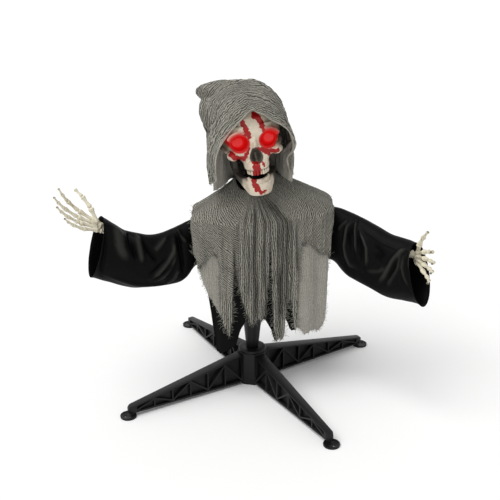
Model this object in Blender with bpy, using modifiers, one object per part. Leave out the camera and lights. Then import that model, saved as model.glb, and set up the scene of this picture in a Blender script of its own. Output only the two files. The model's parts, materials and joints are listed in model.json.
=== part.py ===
"""Animated hooded skeleton ghost on a four-legged stand.

Metres, +Z up. The figure faces -Y, its own left hand is at +X, and the origin is on
the floor under the pole. The stand carries a pole, the torso housing turns on the
pole, the head turns on the neck post, and the jaw, arms and hands move on those.
"""
import math

import bmesh
import bpy
from mathutils import Euler, Matrix, Vector

# General clearances, and the two sides: the figure's right is at -X
CLEARANCE = 0.0003
OVERRUN = 0.0020
MERGE = 0.00002
HANDS = (("right", -1), ("left", 1))

# Stand: four ribbed legs plugged into an eight-sided hub
LEG_COUNT = 4
STAND_TURN = math.radians(31.2)
HUB_ACROSS = 0.0600
HUB_TOP = 0.0755
HUB_FLOOR = 0.0155
LEG_REACH = 0.3000
LEG_ROOT_DROP = 0.0035
LEG_ROOT_TOP = HUB_TOP - LEG_ROOT_DROP
LEG_TIP_TOP = 0.0240
LEG_ROOT_UNDERSIDE = 0.0060
LEG_TIP_UNDERSIDE = 0.0085
LEG_ROOT_WIDTH = 0.0250
LEG_TIP_WIDTH = 0.0150
LEG_FLANGE = 0.0035
LEG_WEB = 0.0040
LEG_RIB = 0.0030
LEG_BAYS = 6
LEG_TONGUE_WIDTH = 0.0090
LEG_TONGUE_DEPTH = 0.0080
LEG_TONGUE_DROP = 0.0100
COLLAR_RADIUS = 0.0300
COLLAR_THICKNESS = 0.0060
COLLAR_CHAMFER = 0.0020
TAB_RADIUS = 0.0170
TAB_THICKNESS = 0.0040
TAB_RIM = 0.0030
TAB_RECESS = 0.0012
TAB_HOLE_RADIUS = 0.0028
TAB_HOLE_OUT = 0.0070
TAB_NECK_RADIUS = 0.0050
TAB_NECK_IN = 0.0100

# Pole, tapered pedestal and the turning gear near the pole's top
POLE_RADIUS = 0.0110
POLE_WALL = 0.0015
PEDESTAL_HEIGHT = 0.1219
PEDESTAL_MIDDLE_SHARE = 0.48
PEDESTAL_FOOT_WALL = 0.0020
PEDESTAL_MIDDLE_RADIUS = 0.0185
PEDESTAL_TOP_RADIUS = 0.0250
PEDESTAL_WALL = 0.0025
PEDESTAL_FOOT = HUB_TOP + COLLAR_THICKNESS + 2 * CLEARANCE
PEDESTAL_TOP = PEDESTAL_FOOT + PEDESTAL_HEIGHT
TURN_BUSH_WALL = 0.0037
TURN_BUSH_RIM = 0.0050
TURN_BUSH_FLANGE = 0.0034
GEAR_TEETH = 24
PINION_TEETH = 8
GEAR_TIP_SHARE = 0.90
GEAR_ROOT_SHARE = 1.15
TOOTH_ROOT_SHARE = 0.34
TOOTH_TIP_SHARE = 0.13
GEAR_THICKNESS = 0.0060
GEAR_LIFT = 0.0220
GEAR_BACKLASH = 0.0004
POLE_END = 0.0160
PINION_SHAFT_RADIUS = 0.0020

# Torso housing: a moulded shell in a front and a rear half, with the works inside
HOUSING_HALF_WIDTH = 0.0600
HOUSING_HALF_DEPTH = 0.0380
HOUSING_HEIGHT = 0.1870
HOUSING_WALL = 0.0025
HOUSING_ROUND = 0.0120
HOUSING_BOTTOM = PEDESTAL_TOP + TURN_BUSH_FLANGE + 2 * CLEARANCE
HOUSING_TOP = HOUSING_BOTTOM + HOUSING_HEIGHT
GEAR_BOTTOM = HOUSING_BOTTOM + GEAR_LIFT
POLE_TOP = GEAR_BOTTOM + GEAR_THICKNESS + POLE_END
SHOULDER_DROP = 0.0170
SHOULDER_HEIGHT = HOUSING_TOP - SHOULDER_DROP
ROD_RADIUS = 0.0050
SHOULDER_BUSH_WALL = 0.0042
SHOULDER_BUSH_RIM = 0.0030
SHOULDER_BUSH_FLANGE = 0.0025
SHOULDER_BUSH_LENGTH = 0.0200
SHOULDER_BUSH_RADIUS = ROD_RADIUS + CLEARANCE + SHOULDER_BUSH_WALL
MOTOR_RADIUS = 0.0120
MOTOR_LENGTH = 0.0300
GEARBOX_SIDE = 0.0260
GEARBOX_HEIGHT = 0.0180
MOTOR_RIB = 0.0030
MOTOR_ROOM = 0.0072
PINION_DISTANCE = HOUSING_HALF_WIDTH - HOUSING_WALL - MOTOR_ROOM - GEARBOX_SIDE / 2
GEAR_MODULE = 2 * PINION_DISTANCE / (GEAR_TEETH + PINION_TEETH)
SPEAKER_RADIUS = 0.0180
SPEAKER_DEPTH = 0.0100
SPEAKER_MAGNET_RADIUS = 0.0110
SPEAKER_INSET = 0.0330
SPEAKER_LIFT = 0.1020
SPEAKER_HOLE_RADIUS = 0.0022
SPEAKER_HOLE_RING = 0.0100
SPEAKER_HOLES = 6
BOARD_WIDTH = 0.0340
BOARD_HEIGHT = 0.0400
BOARD_THICKNESS = 0.0016
BOARD_STANDOFF = 0.0067
BOARD_INSET = 0.0300
BOARD_LIFT = 0.1220
CELL_RADIUS = 0.00725
CELL_LENGTH = 0.0500
CELL_COUNT = 3
CELL_SPACING = 0.0010
CELL_LIFT = 0.0800
TRAY_WALL = 0.0015
DOOR_LIP = 0.0045
DOOR_THICKNESS = 0.0020
DOOR_GRIP_RIBS = 3
DOOR_GRIP_RIB = 0.0015
DOOR_GRIP_STEP = 0.0045
SWITCH_INSET = 0.0300
SWITCH_LIFT = 0.0175
SWITCH_SLOT_WIDTH = 0.0130
SWITCH_SLOT_HEIGHT = 0.0060
SWITCH_BODY_DEPTH = 0.0060
KNOB_SIDE = 0.0040
KNOB_STAND_OUT = 0.0040
SCREW_RADIUS = 0.0016
SCREW_HEAD_RADIUS = 0.0032
SCREW_HEAD_THICKNESS = 0.0020
SCREW_HEAD_SUNK = 0.0032
SCREW_LENGTH = 0.0120
SCREW_INSET = 0.0080
SCREW_LIFT = 0.0140
SCREW_DROP = 0.0240
SCREW_BOSS_WALL = 0.0012

# Neck post, and the hanger on it that carries the cloth
NECK_RADIUS = 0.0090
NECK_LENGTH = 0.0750
NECK_SPIGOT = 0.0500
NECK_TENON = 0.0139
NECK_FLANGE_RADIUS = 0.0150
NECK_FLANGE = 0.0030
NECK_SEAT = HOUSING_TOP + NECK_LENGTH
NECK_TOP = NECK_SEAT + NECK_SPIGOT
HANGER_RADIUS = 0.0030
HANGER_COLLAR_WALL = 0.0045
HANGER_COLLAR_LENGTH = 0.0120
HANGER_COLLAR_DROP = 0.0450
HANGER_END_SHARE = 0.80

# Head: its place on the neck, and the skull's sizes from the pivot point outwards
HEAD_ASIDE = 0.0030
HEAD_FORWARD = 0.0180
HEAD_LIFT = 0.0230
HEAD_PIVOT = Vector((-HEAD_ASIDE, -HEAD_FORWARD, NECK_TOP + HEAD_LIFT))
HEAD_TURN = math.radians(8.0)
HEAD_ROLL = math.radians(-8.3)
HEAD_NOD = math.radians(1.5)
NECK_SOCKET_WALL = 0.0040
NECK_SOCKET_DEPTH = 0.0300
CRANIUM_RADII = (0.0620, 0.0770, 0.0764)
CRANIUM_BACK = 0.0020
CRANIUM_LIFT = 0.0400
SKULL_WALL = 0.0030
SKULL_FRONT_WALL = 0.0180
FACE_DROP = 0.0290
FACE_HEIGHT = 0.0890
FACE_HALF_WIDTH = 0.0540
FACE_REACH = 0.0790
# Each ring of the face, from the gum up: rise, half width, reach of the front and of the back
FACE_RING_SHARES = (
    (0.00, 0.44, 1.00, 0.43),
    (0.14, 0.49, 0.99, 0.35),
    (0.24, 0.65, 0.92, 0.25),
    (0.35, 0.89, 0.89, 0.13),
    (0.48, 0.97, 0.87, 0.00),
    (0.66, 0.98, 0.90, 0.00),
    (0.85, 1.00, 0.96, 0.00),
    (1.00, 0.93, 0.91, 0.00),
)
CHEEK_RADII = (0.0150, 0.0170, 0.0100)
CHEEK_CENTRE = (0.0440, -0.0540, 0.0010)
CHEEK_ARCH_RADIUS = 0.0046
CHEEK_ARCH_BACK = (0.0575, -0.0120, 0.0060)
CHEEK_ARCH_END = (0.0480, 0.0160, 0.0120)
BROW_RADIUS = 0.0062
BROW_START = math.radians(25)
BROW_SWEEP = math.radians(130)
ORBIT_RADII = (0.0180, 0.0280, 0.0170)
ORBIT_CENTRE = (0.0285, -0.0780, 0.0270)
ORBIT_DEPTH = 0.0320
LAMP_RADIUS = 0.0150
LAMP_RIM = 0.0060
LAMP_DOME = 0.0080
NOSE_RADII = (0.0100, 0.0200, 0.0150)
NOSE_CENTRE = (0.0, -0.0780, -0.0010)
NOSE_BRIDGE_RADII = (0.0060, 0.0120, 0.0160)
NOSE_BRIDGE_CENTRE = (0.0, -0.0690, 0.0250)
SKULL_SPLIT = 0.0150

# Teeth and jaw: both follow one dental arch, seen from above
ARCH_FRONT = 0.0740
ARCH_LENGTH = 0.0840
ARCH_HALF_WIDTH = 0.0420
# Half width and length along one side of the arch, from the middle of the front
ARCH_SHARES = ((0.00, 0.00), (0.26, 0.03), (0.43, 0.13), (0.56, 0.29), (0.71, 0.46), (0.90, 0.70),
               (1.00, 1.00))
TOOTH_COUNT = 10
TOOTH_RADIUS = 0.0032
TOOTH_TAPER_SHARE = 0.85
TOOTH_LENGTH = 0.0090
TOOTH_SPREAD = 0.0570
UPPER_TEETH_FORWARD = 0.0015
JAW_PIVOT = Vector((0.0, 0.0020, -0.0100))
JAW_OPEN = math.radians(10.0)
JAW_BONE = 0.0100
JAW_TOP_OF_BODY = -0.0450
JAW_CHIN_BOTTOM = -0.0740
JAW_ANGLE_BOTTOM = -0.0470
JAW_RAMUS_DEPTH = 0.0230
JAW_KNUCKLE = 0.0070
# Reach towards the chin, and rise above its lowest point, of the three points of its curve
CHIN_SHARES = ((0.66, 0.50), (0.80, 0.00), (0.93, 0.33))
JAW_PIN_RADIUS = 0.0020
JAW_LUG_HALF_GAP = 0.0285
JAW_LUG_THICKNESS = 0.0040

# Arms: bent rods, with a hanging sleeve and a skeleton hand on each
ROD_STEPS = 13
ARM_OUT = {"right": 0.2980, "left": 0.3170}
ARM_FORWARD = {"right": 0.0770, "left": 0.1120}
ARM_BEND = {"right": 0.0300, "left": 0.0340}
# Points of each rod beyond the shoulder: out, forward, and up or down by the bend
ARM_SHARES = {
    "right": ((0.39, 0.05, -0.13), (0.51, 0.23, -0.57), (0.67, 0.44, -1.00), (0.84, 0.73, -0.53),
              (1.00, 1.00, 0.33)),
    "left": ((0.39, 0.00, 0.35), (0.52, 0.05, 0.62), (0.66, 0.27, 0.32), (0.83, 0.64, -0.24),
             (1.00, 1.00, -1.00)),
}
SLEEVE_DROP = {"right": 0.1130, "left": 0.1280}
SLEEVE_HALF_WIDTH = {"right": 0.0360, "left": 0.0370}
SLEEVE_EASE = 0.0012
SLEEVE_CUFF_RISE = 0.0165
SLEEVE_CUFF_LEAN = {"right": 0.0320, "left": 0.0340}
# Down each sleeve from the shoulder to the cuff: rise, drop, half width and lean
SLEEVE_SHARES = {
    "right": ((0.00, 0.14, 0.44, 0.0), (0.04, 0.84, 0.67, 0.0), (0.04, 1.00, 0.81, 0.0),
              (0.04, 0.92, 0.92, 0.0), (0.15, 0.97, 0.97, 0.2), (1.00, 0.87, 1.00, 1.0)),
    "left": ((0.00, 0.13, 0.43, 0.0), (0.04, 0.43, 0.60, 0.0), (0.04, 0.84, 0.73, 0.0),
             (0.04, 1.00, 0.86, 0.0), (0.10, 0.99, 0.95, 0.2), (1.00, 0.78, 1.00, 1.0)),
}
SLEEVE_STATIONS = ROD_STEPS - 2
SLEEVE_SIDES = 12
SLEEVE_FOLD_SHARE = 0.10
SLEEVE_FOLD_START_SHARE = 0.1667
SLEEVE_FOLD_FULL_SHARE = 0.50
SLEEVE_FOLDS = 3
SLEEVE_FOLD_TWIST = math.radians(516)
WRIST_WALL = 0.0032
WRIST_LENGTH = 0.0180
WRIST_BORE_SHARE = 0.60
WRIST_TAPER_SHARE = 0.90
COLLAR_LENGTH = 0.0070
CARPAL_RADII = (0.0165, 0.0100, 0.0065)
CARPAL_REACH = 0.0185
PALM_HALF_WIDTH = 0.0125
FINGER_LENGTH = 0.1120
KNUCKLE_RADIUS = 0.0040
SHAFT_RADIUS = 0.0024
GROOVE_RADIUS = 0.0026
FINGERTIP_RADIUS = 0.0012
# Where each digit starts across the palm, and its bones' lengths from the wrist to the tip
DIGIT_SHARES = {
    "thumb": (1.10, (0.27, 0.25, 0.18)),
    "index": (1.00, (0.39, 0.26, 0.16, 0.13)),
    "middle": (0.35, (0.40, 0.29, 0.18, 0.13)),
    "ring": (-0.32, (0.37, 0.27, 0.17, 0.13)),
    "little": (-0.95, (0.32, 0.22, 0.13, 0.12)),
}
DIGIT_GIRTH_SHARES = {"thumb": 1.06, "index": 1.00, "middle": 0.98, "ring": 0.95, "little": 0.90}
BONE_TAPER_SHARE = 0.13
DIGIT_ROOT_SHARE = 0.25
THUMB_ROOT_SHARE = 0.50
# Along one bone: how far, and whether it is as thick there as the knuckle (1) or the shaft (0)
BONE_SHARES = ((0.10, 1.0), (0.45, 0.0), (0.90, 1.0))
# In degrees: the hand's swing to its left, rise and roll; each digit's spread; each joint's curl;
# the thumb's lift
HAND_AIM = {"right": (-60, 20, 54), "left": (10, 19, -2)}
HAND_SPREAD = {"right": {"thumb": 50, "index": 27, "middle": 15, "ring": 8, "little": 0},
               "left": {"thumb": 31, "index": 3, "middle": -4, "ring": -10, "little": -21}}
FINGER_CURL = {"right": (16, 12, 9), "left": (2, 4, 28)}
THUMB_LIFT = {"right": 25, "left": 8}
THUMB_CURL = {"right": -14, "left": -7}

# Cloth on the body: black robe, light lining panels and grey gauze cape, in layers
PANEL_THICKNESS = 0.0020
LAYER_GAP = 0.0007
NECKLINE_RADIUS = 0.0450
NECKLINE_TILT = 0.0080
NECKLINE_DIP = 0.0300
CHEST_EASE = 0.0240
CHEST_HALF_DEPTH = HOUSING_HALF_DEPTH + CHEST_EASE
SHOULDER_OUT = {"right": 0.0580, "left": 0.0980}
SHOULDER_RISE = {"right": 0.0130, "left": 0.0330}
CHEST_RISE = 0.0100
CHEST_HEIGHT = SHOULDER_HEIGHT + CHEST_RISE
YOKE_ROWS = 3
PANEL_ROWS = 7
PANEL_COLUMNS = 28
BACK_COLUMNS = 18
CORNER_SHARE = 0.27
YOKE_CURVE_SHARE = 1.4
CAPE_DROP = 0.2700
ROBE_DROP = 0.3000
LINING_DROP = 0.2350
LINING_START = 0.0020
FOLD_DEPTH = 0.0045
FOLD_COUNT = 11
FOLD_START = 0.1500
HEM_FLARE = 0.0120
SEAM_GAP = 0.0006
# Each hem from one side seam to the other: how far round, and how far down its drop
CAPE_FRONT_HEM_SHARES = ((0.00, 0.02), (0.04, 0.02), (0.07, 0.40), (0.18, 0.46), (0.21, 0.34), (0.32, 0.96),
                         (0.39, 0.45), (0.43, 0.50), (0.50, 0.92), (0.57, 0.42), (0.64, 1.00), (0.75, 0.36),
                         (0.89, 0.46), (0.93, 0.46), (0.96, 0.02), (1.00, 0.02))
CAPE_BACK_HEM_SHARES = ((0.00, 0.02), (0.06, 0.02), (0.11, 0.42), (0.21, 0.70), (0.25, 0.56), (0.36, 0.98),
                        (0.43, 0.60), (0.50, 0.92), (0.57, 0.56), (0.64, 0.97), (0.71, 0.52), (0.79, 0.66),
                        (0.89, 0.40), (0.94, 0.02), (1.00, 0.02))
ROBE_FRONT_HEM_SHARES = ((0.00, 0.01), (0.18, 0.01), (0.21, 0.62), (0.29, 0.88), (0.36, 1.00), (0.43, 0.70),
                         (0.57, 0.84), (0.64, 0.66), (0.71, 0.66), (0.79, 0.40), (0.82, 0.01), (1.00, 0.01))
ROBE_BACK_HEM_SHARES = ((0.00, 0.01), (0.18, 0.01), (0.21, 0.56), (0.36, 0.92), (0.43, 0.70), (0.57, 0.95),
                        (0.68, 0.70), (0.79, 0.50), (0.82, 0.01), (1.00, 0.01))
LINING_HEM_SHARES = {"right": ((0.0, 0.40), (0.5, 0.74), (1.0, 0.86)),
                     "left": ((0.0, 0.90), (0.17, 0.98), (0.5, 0.90), (1.0, 0.97))}
# The lining panels' edges, in columns of the front panel from its middle
LINING_COLUMNS = {"right": (-10, -4), "left": (4, 9)}
LINING_ROWS = 7

# Hood: an arch over the face that runs back over the skull to a seam behind
HOOD_COLUMNS = 18
HOOD_ROWS = 9
HOOD_THICKNESS = 0.0030
HOOD_HALF_WIDTH = 0.0920
HOOD_FRONT = 0.1000
HOOD_BACK = 0.0880
HOOD_HEM_DROP = 0.0700
HOOD_HEM_TILT = 0.0110
HOOD_CROWN = 0.1210
HOOD_CORNER = 0.0360
# Stations from the face rim to the seam: place of the crown and of the hem from front to back, right and left
# half widths, crown height and the crown's shift to the right
HOOD_SHARES = (
    (0.00, 0.24, 0.80, 0.86, 0.82, 0.03),
    (0.18, 0.38, 0.95, 0.94, 0.94, 0.07),
    (0.53, 0.57, 1.00, 0.91, 1.00, 0.11),
    (0.77, 0.75, 1.00, 0.83, 0.95, 0.20),
    (0.95, 0.91, 0.80, 0.59, 0.82, 0.20),
    (1.00, 0.99, 0.00, 0.00, 0.70, 0.12),
)
HOOD_ARCH_SHARE = 1.06
HOOD_SLUMP_SHARES = {"right": 0.30, "left": -0.10}
HOOD_ROUND_SHARE = 0.70
HOOD_LOW_SHARE = 1.5
HOOD_TUCK_SHARE = 0.07
# The floppy corner: its middle and half extent, across the arch and from front to back
HOOD_CORNER_SHARES = ((0.36, 0.18), (0.60, 0.32))

# Colours as linear RGB with a roughness and a metallic value
FINISHES = {
    "black_plastic": ((0.012, 0.012, 0.012), 0.55, 0.0),
    "black_steel": ((0.015, 0.015, 0.015), 0.40, 0.8),
    "white_plastic": ((0.55, 0.54, 0.50), 0.50, 0.0),
    "steel": ((0.50, 0.50, 0.50), 0.35, 1.0),
    "brass": ((0.60, 0.42, 0.15), 0.35, 1.0),
    "board_green": ((0.02, 0.16, 0.06), 0.50, 0.0),
    "cell_case": ((0.05, 0.05, 0.06), 0.35, 0.2),
    "bone": ((0.60, 0.52, 0.42), 0.45, 0.0),
    "lamp_red": ((0.55, 0.005, 0.005), 0.15, 0.0),
    "satin": ((0.008, 0.008, 0.008), 0.40, 0.0),
    "gauze": ((0.14, 0.135, 0.12), 0.95, 0.0),
    "gauze_light": ((0.26, 0.25, 0.23), 0.95, 0.0),
}

PARTS = bpy.data.collections.new("animated_ghost")
CUTTERS = bpy.data.collections.new("cutters")


def start_scene():
    """Empty the scene and add the two collections."""
    for old in list(bpy.data.objects):
        bpy.data.objects.remove(old)
    for group in (PARTS, CUTTERS):
        bpy.context.scene.collection.children.link(group)


def paint(obj, finish):
    """Give a piece its own Principled material in one of the finishes."""
    colour, roughness, metallic = FINISHES[finish]
    material = bpy.data.materials.new(f"{obj.name}_{finish}")
    material.use_nodes = True
    shader = material.node_tree.nodes["Principled BSDF"]
    shader.inputs["Base Color"].default_value = (*colour, 1.0)
    shader.inputs["Roughness"].default_value = roughness
    shader.inputs["Metallic"].default_value = metallic
    obj.data.materials.clear()
    obj.data.materials.append(material)
    return obj


def sort_object(obj, finish):
    """A painted object is a part; one without a finish is a cutter."""
    if finish:
        PARTS.objects.link(obj)
    else:
        CUTTERS.objects.link(obj)
        obj.hide_render = True
        obj.display_type = "WIRE"


def add_mesh(name, bm, finish=None):
    """A bmesh becomes a named object."""
    mesh = bpy.data.meshes.new(name)
    bm.to_mesh(mesh)
    bm.free()
    obj = bpy.data.objects.new(name, mesh)
    sort_object(obj, finish)
    if finish:
        paint(obj, finish)
    return obj


def bake(obj):
    """The modifiers of an object become its mesh, and a curve becomes a welded mesh."""
    bpy.context.view_layer.update()
    shaped = obj.evaluated_get(bpy.context.evaluated_depsgraph_get())
    mesh = bpy.data.meshes.new_from_object(shaped)
    bm = bmesh.new()
    bm.from_mesh(mesh)
    bmesh.ops.remove_doubles(bm, verts=bm.verts, dist=MERGE)
    bm.to_mesh(mesh)
    bm.free()
    solid = bpy.data.objects.new(obj.name, mesh)
    solid.matrix_world = obj.matrix_world
    for group in obj.users_collection:
        group.objects.link(solid)
    solid.hide_render = obj.hide_render
    solid.display_type = obj.display_type
    name = obj.name
    bpy.data.objects.remove(obj)
    solid.name = name
    return solid


def modify(obj, kind, **settings):
    """One modifier, with its settings, baked at once."""
    modifier = obj.modifiers.new(kind.lower(), kind)
    for key, value in settings.items():
        setattr(modifier, key, value)
    return bake(obj)


def combine(obj, other, operation):
    """Boolean with one helper shape, which is then removed."""
    obj = modify(obj, "BOOLEAN", operation=operation, solver="EXACT", object=other)
    bpy.data.objects.remove(other)
    return obj


def cut(obj, *others):
    for other in others:
        obj = combine(obj, other, "DIFFERENCE")
    return obj


def join(obj, *others):
    for other in others:
        obj = combine(obj, other, "UNION")
    return obj


def keep_inside(obj, other):
    return combine(obj, other, "INTERSECT")


def face_outwards(obj):
    bm = bmesh.new()
    bm.from_mesh(obj.data)
    bmesh.ops.recalc_face_normals(bm, faces=bm.faces)
    bm.to_mesh(obj.data)
    bm.free()
    return obj


def smooth(obj, degrees=40.0):
    obj.data.shade_smooth()
    obj.data.set_sharp_from_angle(angle=math.radians(degrees))
    return obj


def box(name, low, high, finish=None, round_by=0.0):
    """A box between two corners, with its edges rounded if asked."""
    low = Vector(low)
    high = Vector(high)
    bm = bmesh.new()
    bmesh.ops.create_cube(bm, size=1.0)
    bmesh.ops.scale(bm, vec=high - low, verts=bm.verts)
    bmesh.ops.translate(bm, vec=(high + low) / 2, verts=bm.verts)
    if round_by:
        bmesh.ops.bevel(bm, geom=bm.edges[:], offset=round_by, segments=2, affect="EDGES", profile=0.5)
    return add_mesh(name, bm, finish)


def rod_between(name, start, end, radius, finish=None, sides=16, end_radius=None):
    """A cylinder, or a cone, from one point to another."""
    start = Vector(start)
    end = Vector(end)
    along = end - start
    place = Matrix.Translation((start + end) / 2) @ along.to_track_quat("Z", "Y").to_matrix().to_4x4()
    bm = bmesh.new()
    bmesh.ops.create_cone(bm, cap_ends=True, segments=sides, radius1=radius,
                          radius2=radius if end_radius is None else end_radius,
                          depth=along.length, matrix=place)
    return add_mesh(name, bm, finish)


def ball(name, centre, radii, finish=None, sides=16, rings=10):
    """An ellipsoid on the axes."""
    bm = bmesh.new()
    bmesh.ops.create_uvsphere(bm, u_segments=sides, v_segments=rings, radius=1.0)
    bmesh.ops.scale(bm, vec=radii, verts=bm.verts)
    bmesh.ops.translate(bm, vec=centre, verts=bm.verts)
    return add_mesh(name, bm, finish)


def turned(name, profile, finish=None, sides=24):
    """A closed profile of (radius, height) points turned round the Z axis."""
    bm = bmesh.new()
    points = [bm.verts.new((radius, 0.0, height)) for radius, height in profile]
    for index, point in enumerate(points):
        bm.edges.new((point, points[(index + 1) % len(points)]))
    obj = add_mesh(name, bm, finish)
    obj = modify(obj, "SCREW", axis="Z", steps=sides, render_steps=sides,
                 use_merge_vertices=True, merge_threshold=MERGE, use_smooth_shade=False)
    return face_outwards(obj)


def stacked(name, rings, sides=16, squareness=2.4):
    """Rounded rings of (height, half width, front, back) joined from bottom to top."""
    bm = bmesh.new()
    loops = []
    for height, half_width, front, back in rings:
        loop = []
        for index in range(sides):
            angle = 2 * math.pi * index / sides
            across = math.copysign(abs(math.sin(angle)) ** (2 / squareness), math.sin(angle))
            along = math.copysign(abs(math.cos(angle)) ** (2 / squareness), math.cos(angle))
            depth = (front + back) / 2 - (back - front) / 2 * along
            loop.append(bm.verts.new((half_width * across, depth, height)))
        loops.append(loop)
    for lower, upper in zip(loops, loops[1:]):
        for index in range(sides):
            after = (index + 1) % sides
            bm.faces.new((lower[index], lower[after], upper[after], upper[index]))
    bm.faces.new(loops[0][::-1])
    bm.faces.new(loops[-1])
    bmesh.ops.recalc_face_normals(bm, faces=bm.faces)
    return add_mesh(name, bm)


def solid_curve(name, curve, finish, place=None):
    """A curve object becomes a mesh object in world coordinates."""
    obj = bpy.data.objects.new(name, curve)
    sort_object(obj, finish)
    if place:
        obj.matrix_world = place
    obj = bake(obj)
    obj.data.transform(obj.matrix_world)
    obj.matrix_world = Matrix.Identity(4)
    obj.data.materials.clear()
    if finish:
        paint(obj, finish)
    return obj


def plate(name, outline, low, high, finish=None, plane="XZ"):
    """A flat outline given thickness between two positions across its plane."""
    curve = bpy.data.curves.new(name, "CURVE")
    curve.dimensions = "2D"
    curve.fill_mode = "BOTH"
    curve.extrude = (high - low) / 2
    spline = curve.splines.new("POLY")
    spline.points.add(len(outline) - 1)
    for point, (across, up) in zip(spline.points, outline):
        point.co = (across, up, 0.0, 1.0)
    spline.use_cyclic_u = True
    middle = (low + high) / 2
    quarter = math.pi / 2
    if plane == "XZ":
        place = Matrix.Translation((0, middle, 0)) @ Matrix.Rotation(quarter, 4, "X")
    elif plane == "YZ":
        turn = Matrix.Rotation(quarter, 4, "Z") @ Matrix.Rotation(quarter, 4, "X")
        place = Matrix.Translation((middle, 0, 0)) @ turn
    else:
        place = Matrix.Translation((0, 0, middle))
    return solid_curve(name, curve, finish, place)


def tube(name, points, radii, finish=None, resolution=2):
    """A round bar along points, with a radius at each point."""
    curve = bpy.data.curves.new(name, "CURVE")
    curve.dimensions = "3D"
    curve.bevel_depth = max(radii)
    curve.bevel_resolution = resolution
    curve.use_fill_caps = True
    spline = curve.splines.new("POLY")
    spline.points.add(len(points) - 1)
    for point, place, radius in zip(spline.points, points, radii):
        point.co = (*place, 1.0)
        point.radius = radius / max(radii)
    return solid_curve(name, curve, finish)


def even_curve(points, count):
    """Points spaced along a smooth curve through the given points."""
    points = [Vector(p) for p in points]
    padded = [2 * points[0] - points[1]] + points + [2 * points[-1] - points[-2]]
    found = []
    for step in range(count):
        at = step / (count - 1) * (len(points) - 1)
        index = min(int(at), len(points) - 2)
        share = at - index
        before, start, end, after = padded[index:index + 4]
        found.append(0.5 * (2 * start + (end - before) * share
                            + (2 * before - 5 * start + 4 * end - after) * share ** 2
                            + (3 * start - before - 3 * end + after) * share ** 3))
    return found


def cloth(name, columns, rows, place, finish, thickness, closed=False):
    """A grid bent by place(across, down) and given a thickness."""
    bm = bmesh.new()
    bmesh.ops.create_grid(bm, x_segments=columns, y_segments=rows, size=0.5)
    for point in bm.verts:
        point.co = place(point.co.x + 0.5, 0.5 - point.co.y)
    if closed:
        bmesh.ops.remove_doubles(bm, verts=bm.verts, dist=MERGE)
    obj = add_mesh(name, bm, finish)
    obj = modify(obj, "SOLIDIFY", thickness=thickness, offset=0.0, use_even_offset=False)
    face_outwards(obj)
    return smooth(obj, 60.0)


def ease(share):
    share = max(0.0, min(1.0, share))
    return share * share * (3 - 2 * share)


def read_along(table, share):
    """Value at a share along a table of (place, value) pairs."""
    for (start, first), (end, last) in zip(table, table[1:]):
        if share <= end:
            return first + (last - first) * (share - start) / (end - start)
    return table[-1][1]


# Stand

def leg_angle(index):
    return STAND_TURN + index * 2 * math.pi / LEG_COUNT


def leg_underside(reach):
    root = HUB_ACROSS / 2
    share = (reach - root) / (LEG_REACH - root)
    return LEG_ROOT_UNDERSIDE + share * (LEG_TIP_UNDERSIDE - LEG_ROOT_UNDERSIDE)


def leg_top(reach):
    root = HUB_ACROSS / 2
    share = (reach - root) / (LEG_REACH - root)
    return LEG_ROOT_TOP + share * (LEG_TIP_TOP - LEG_ROOT_TOP)


def leg_pockets(side):
    """Triangular pockets between the zigzag ribs, on one side of the web."""
    start = HUB_ACROSS / 2 + LEG_FLANGE
    end = LEG_REACH - LEG_TIP_WIDTH
    step = (end - start) / LEG_BAYS
    low = LEG_WEB / 2 if side > 0 else -LEG_ROOT_WIDTH
    high = LEG_ROOT_WIDTH if side > 0 else -LEG_WEB / 2
    pockets = []
    for bay in range(LEG_BAYS):
        near = start + bay * step + LEG_RIB / 2
        far = start + (bay + 1) * step - LEG_RIB / 2
        near_top = leg_top(near) - LEG_FLANGE
        far_top = leg_top(far) - LEG_FLANGE
        near_low = leg_underside(near) + LEG_FLANGE
        far_low = leg_underside(far) + LEG_FLANGE
        rise = (near_top - near_low) / (far - near)
        slant = LEG_RIB * math.hypot(1, rise)
        if bay % 2 == 0:
            upper = [(near, near_low + slant), (far, far_top), (near, near_top)]
            lower = [(near, near_low), (far, far_low), (far, far_top - slant)]
        else:
            upper = [(near, near_top), (far, far_low + slant), (far, far_top)]
            lower = [(near, near_low), (far, far_low), (near, near_top - slant)]
        pockets.append(plate("pocket", upper, low, high))
        pockets.append(plate("pocket", lower, low, high))
    return merge_cutters(pockets)


def merge_cutters(cutters):
    """Cutters that don't meet become one, so that one Boolean cuts them all."""
    bm = bmesh.new()
    for cutter in cutters:
        bm.from_mesh(cutter.data)
        bpy.data.objects.remove(cutter)
    return add_mesh("cutter_group", bm)


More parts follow.
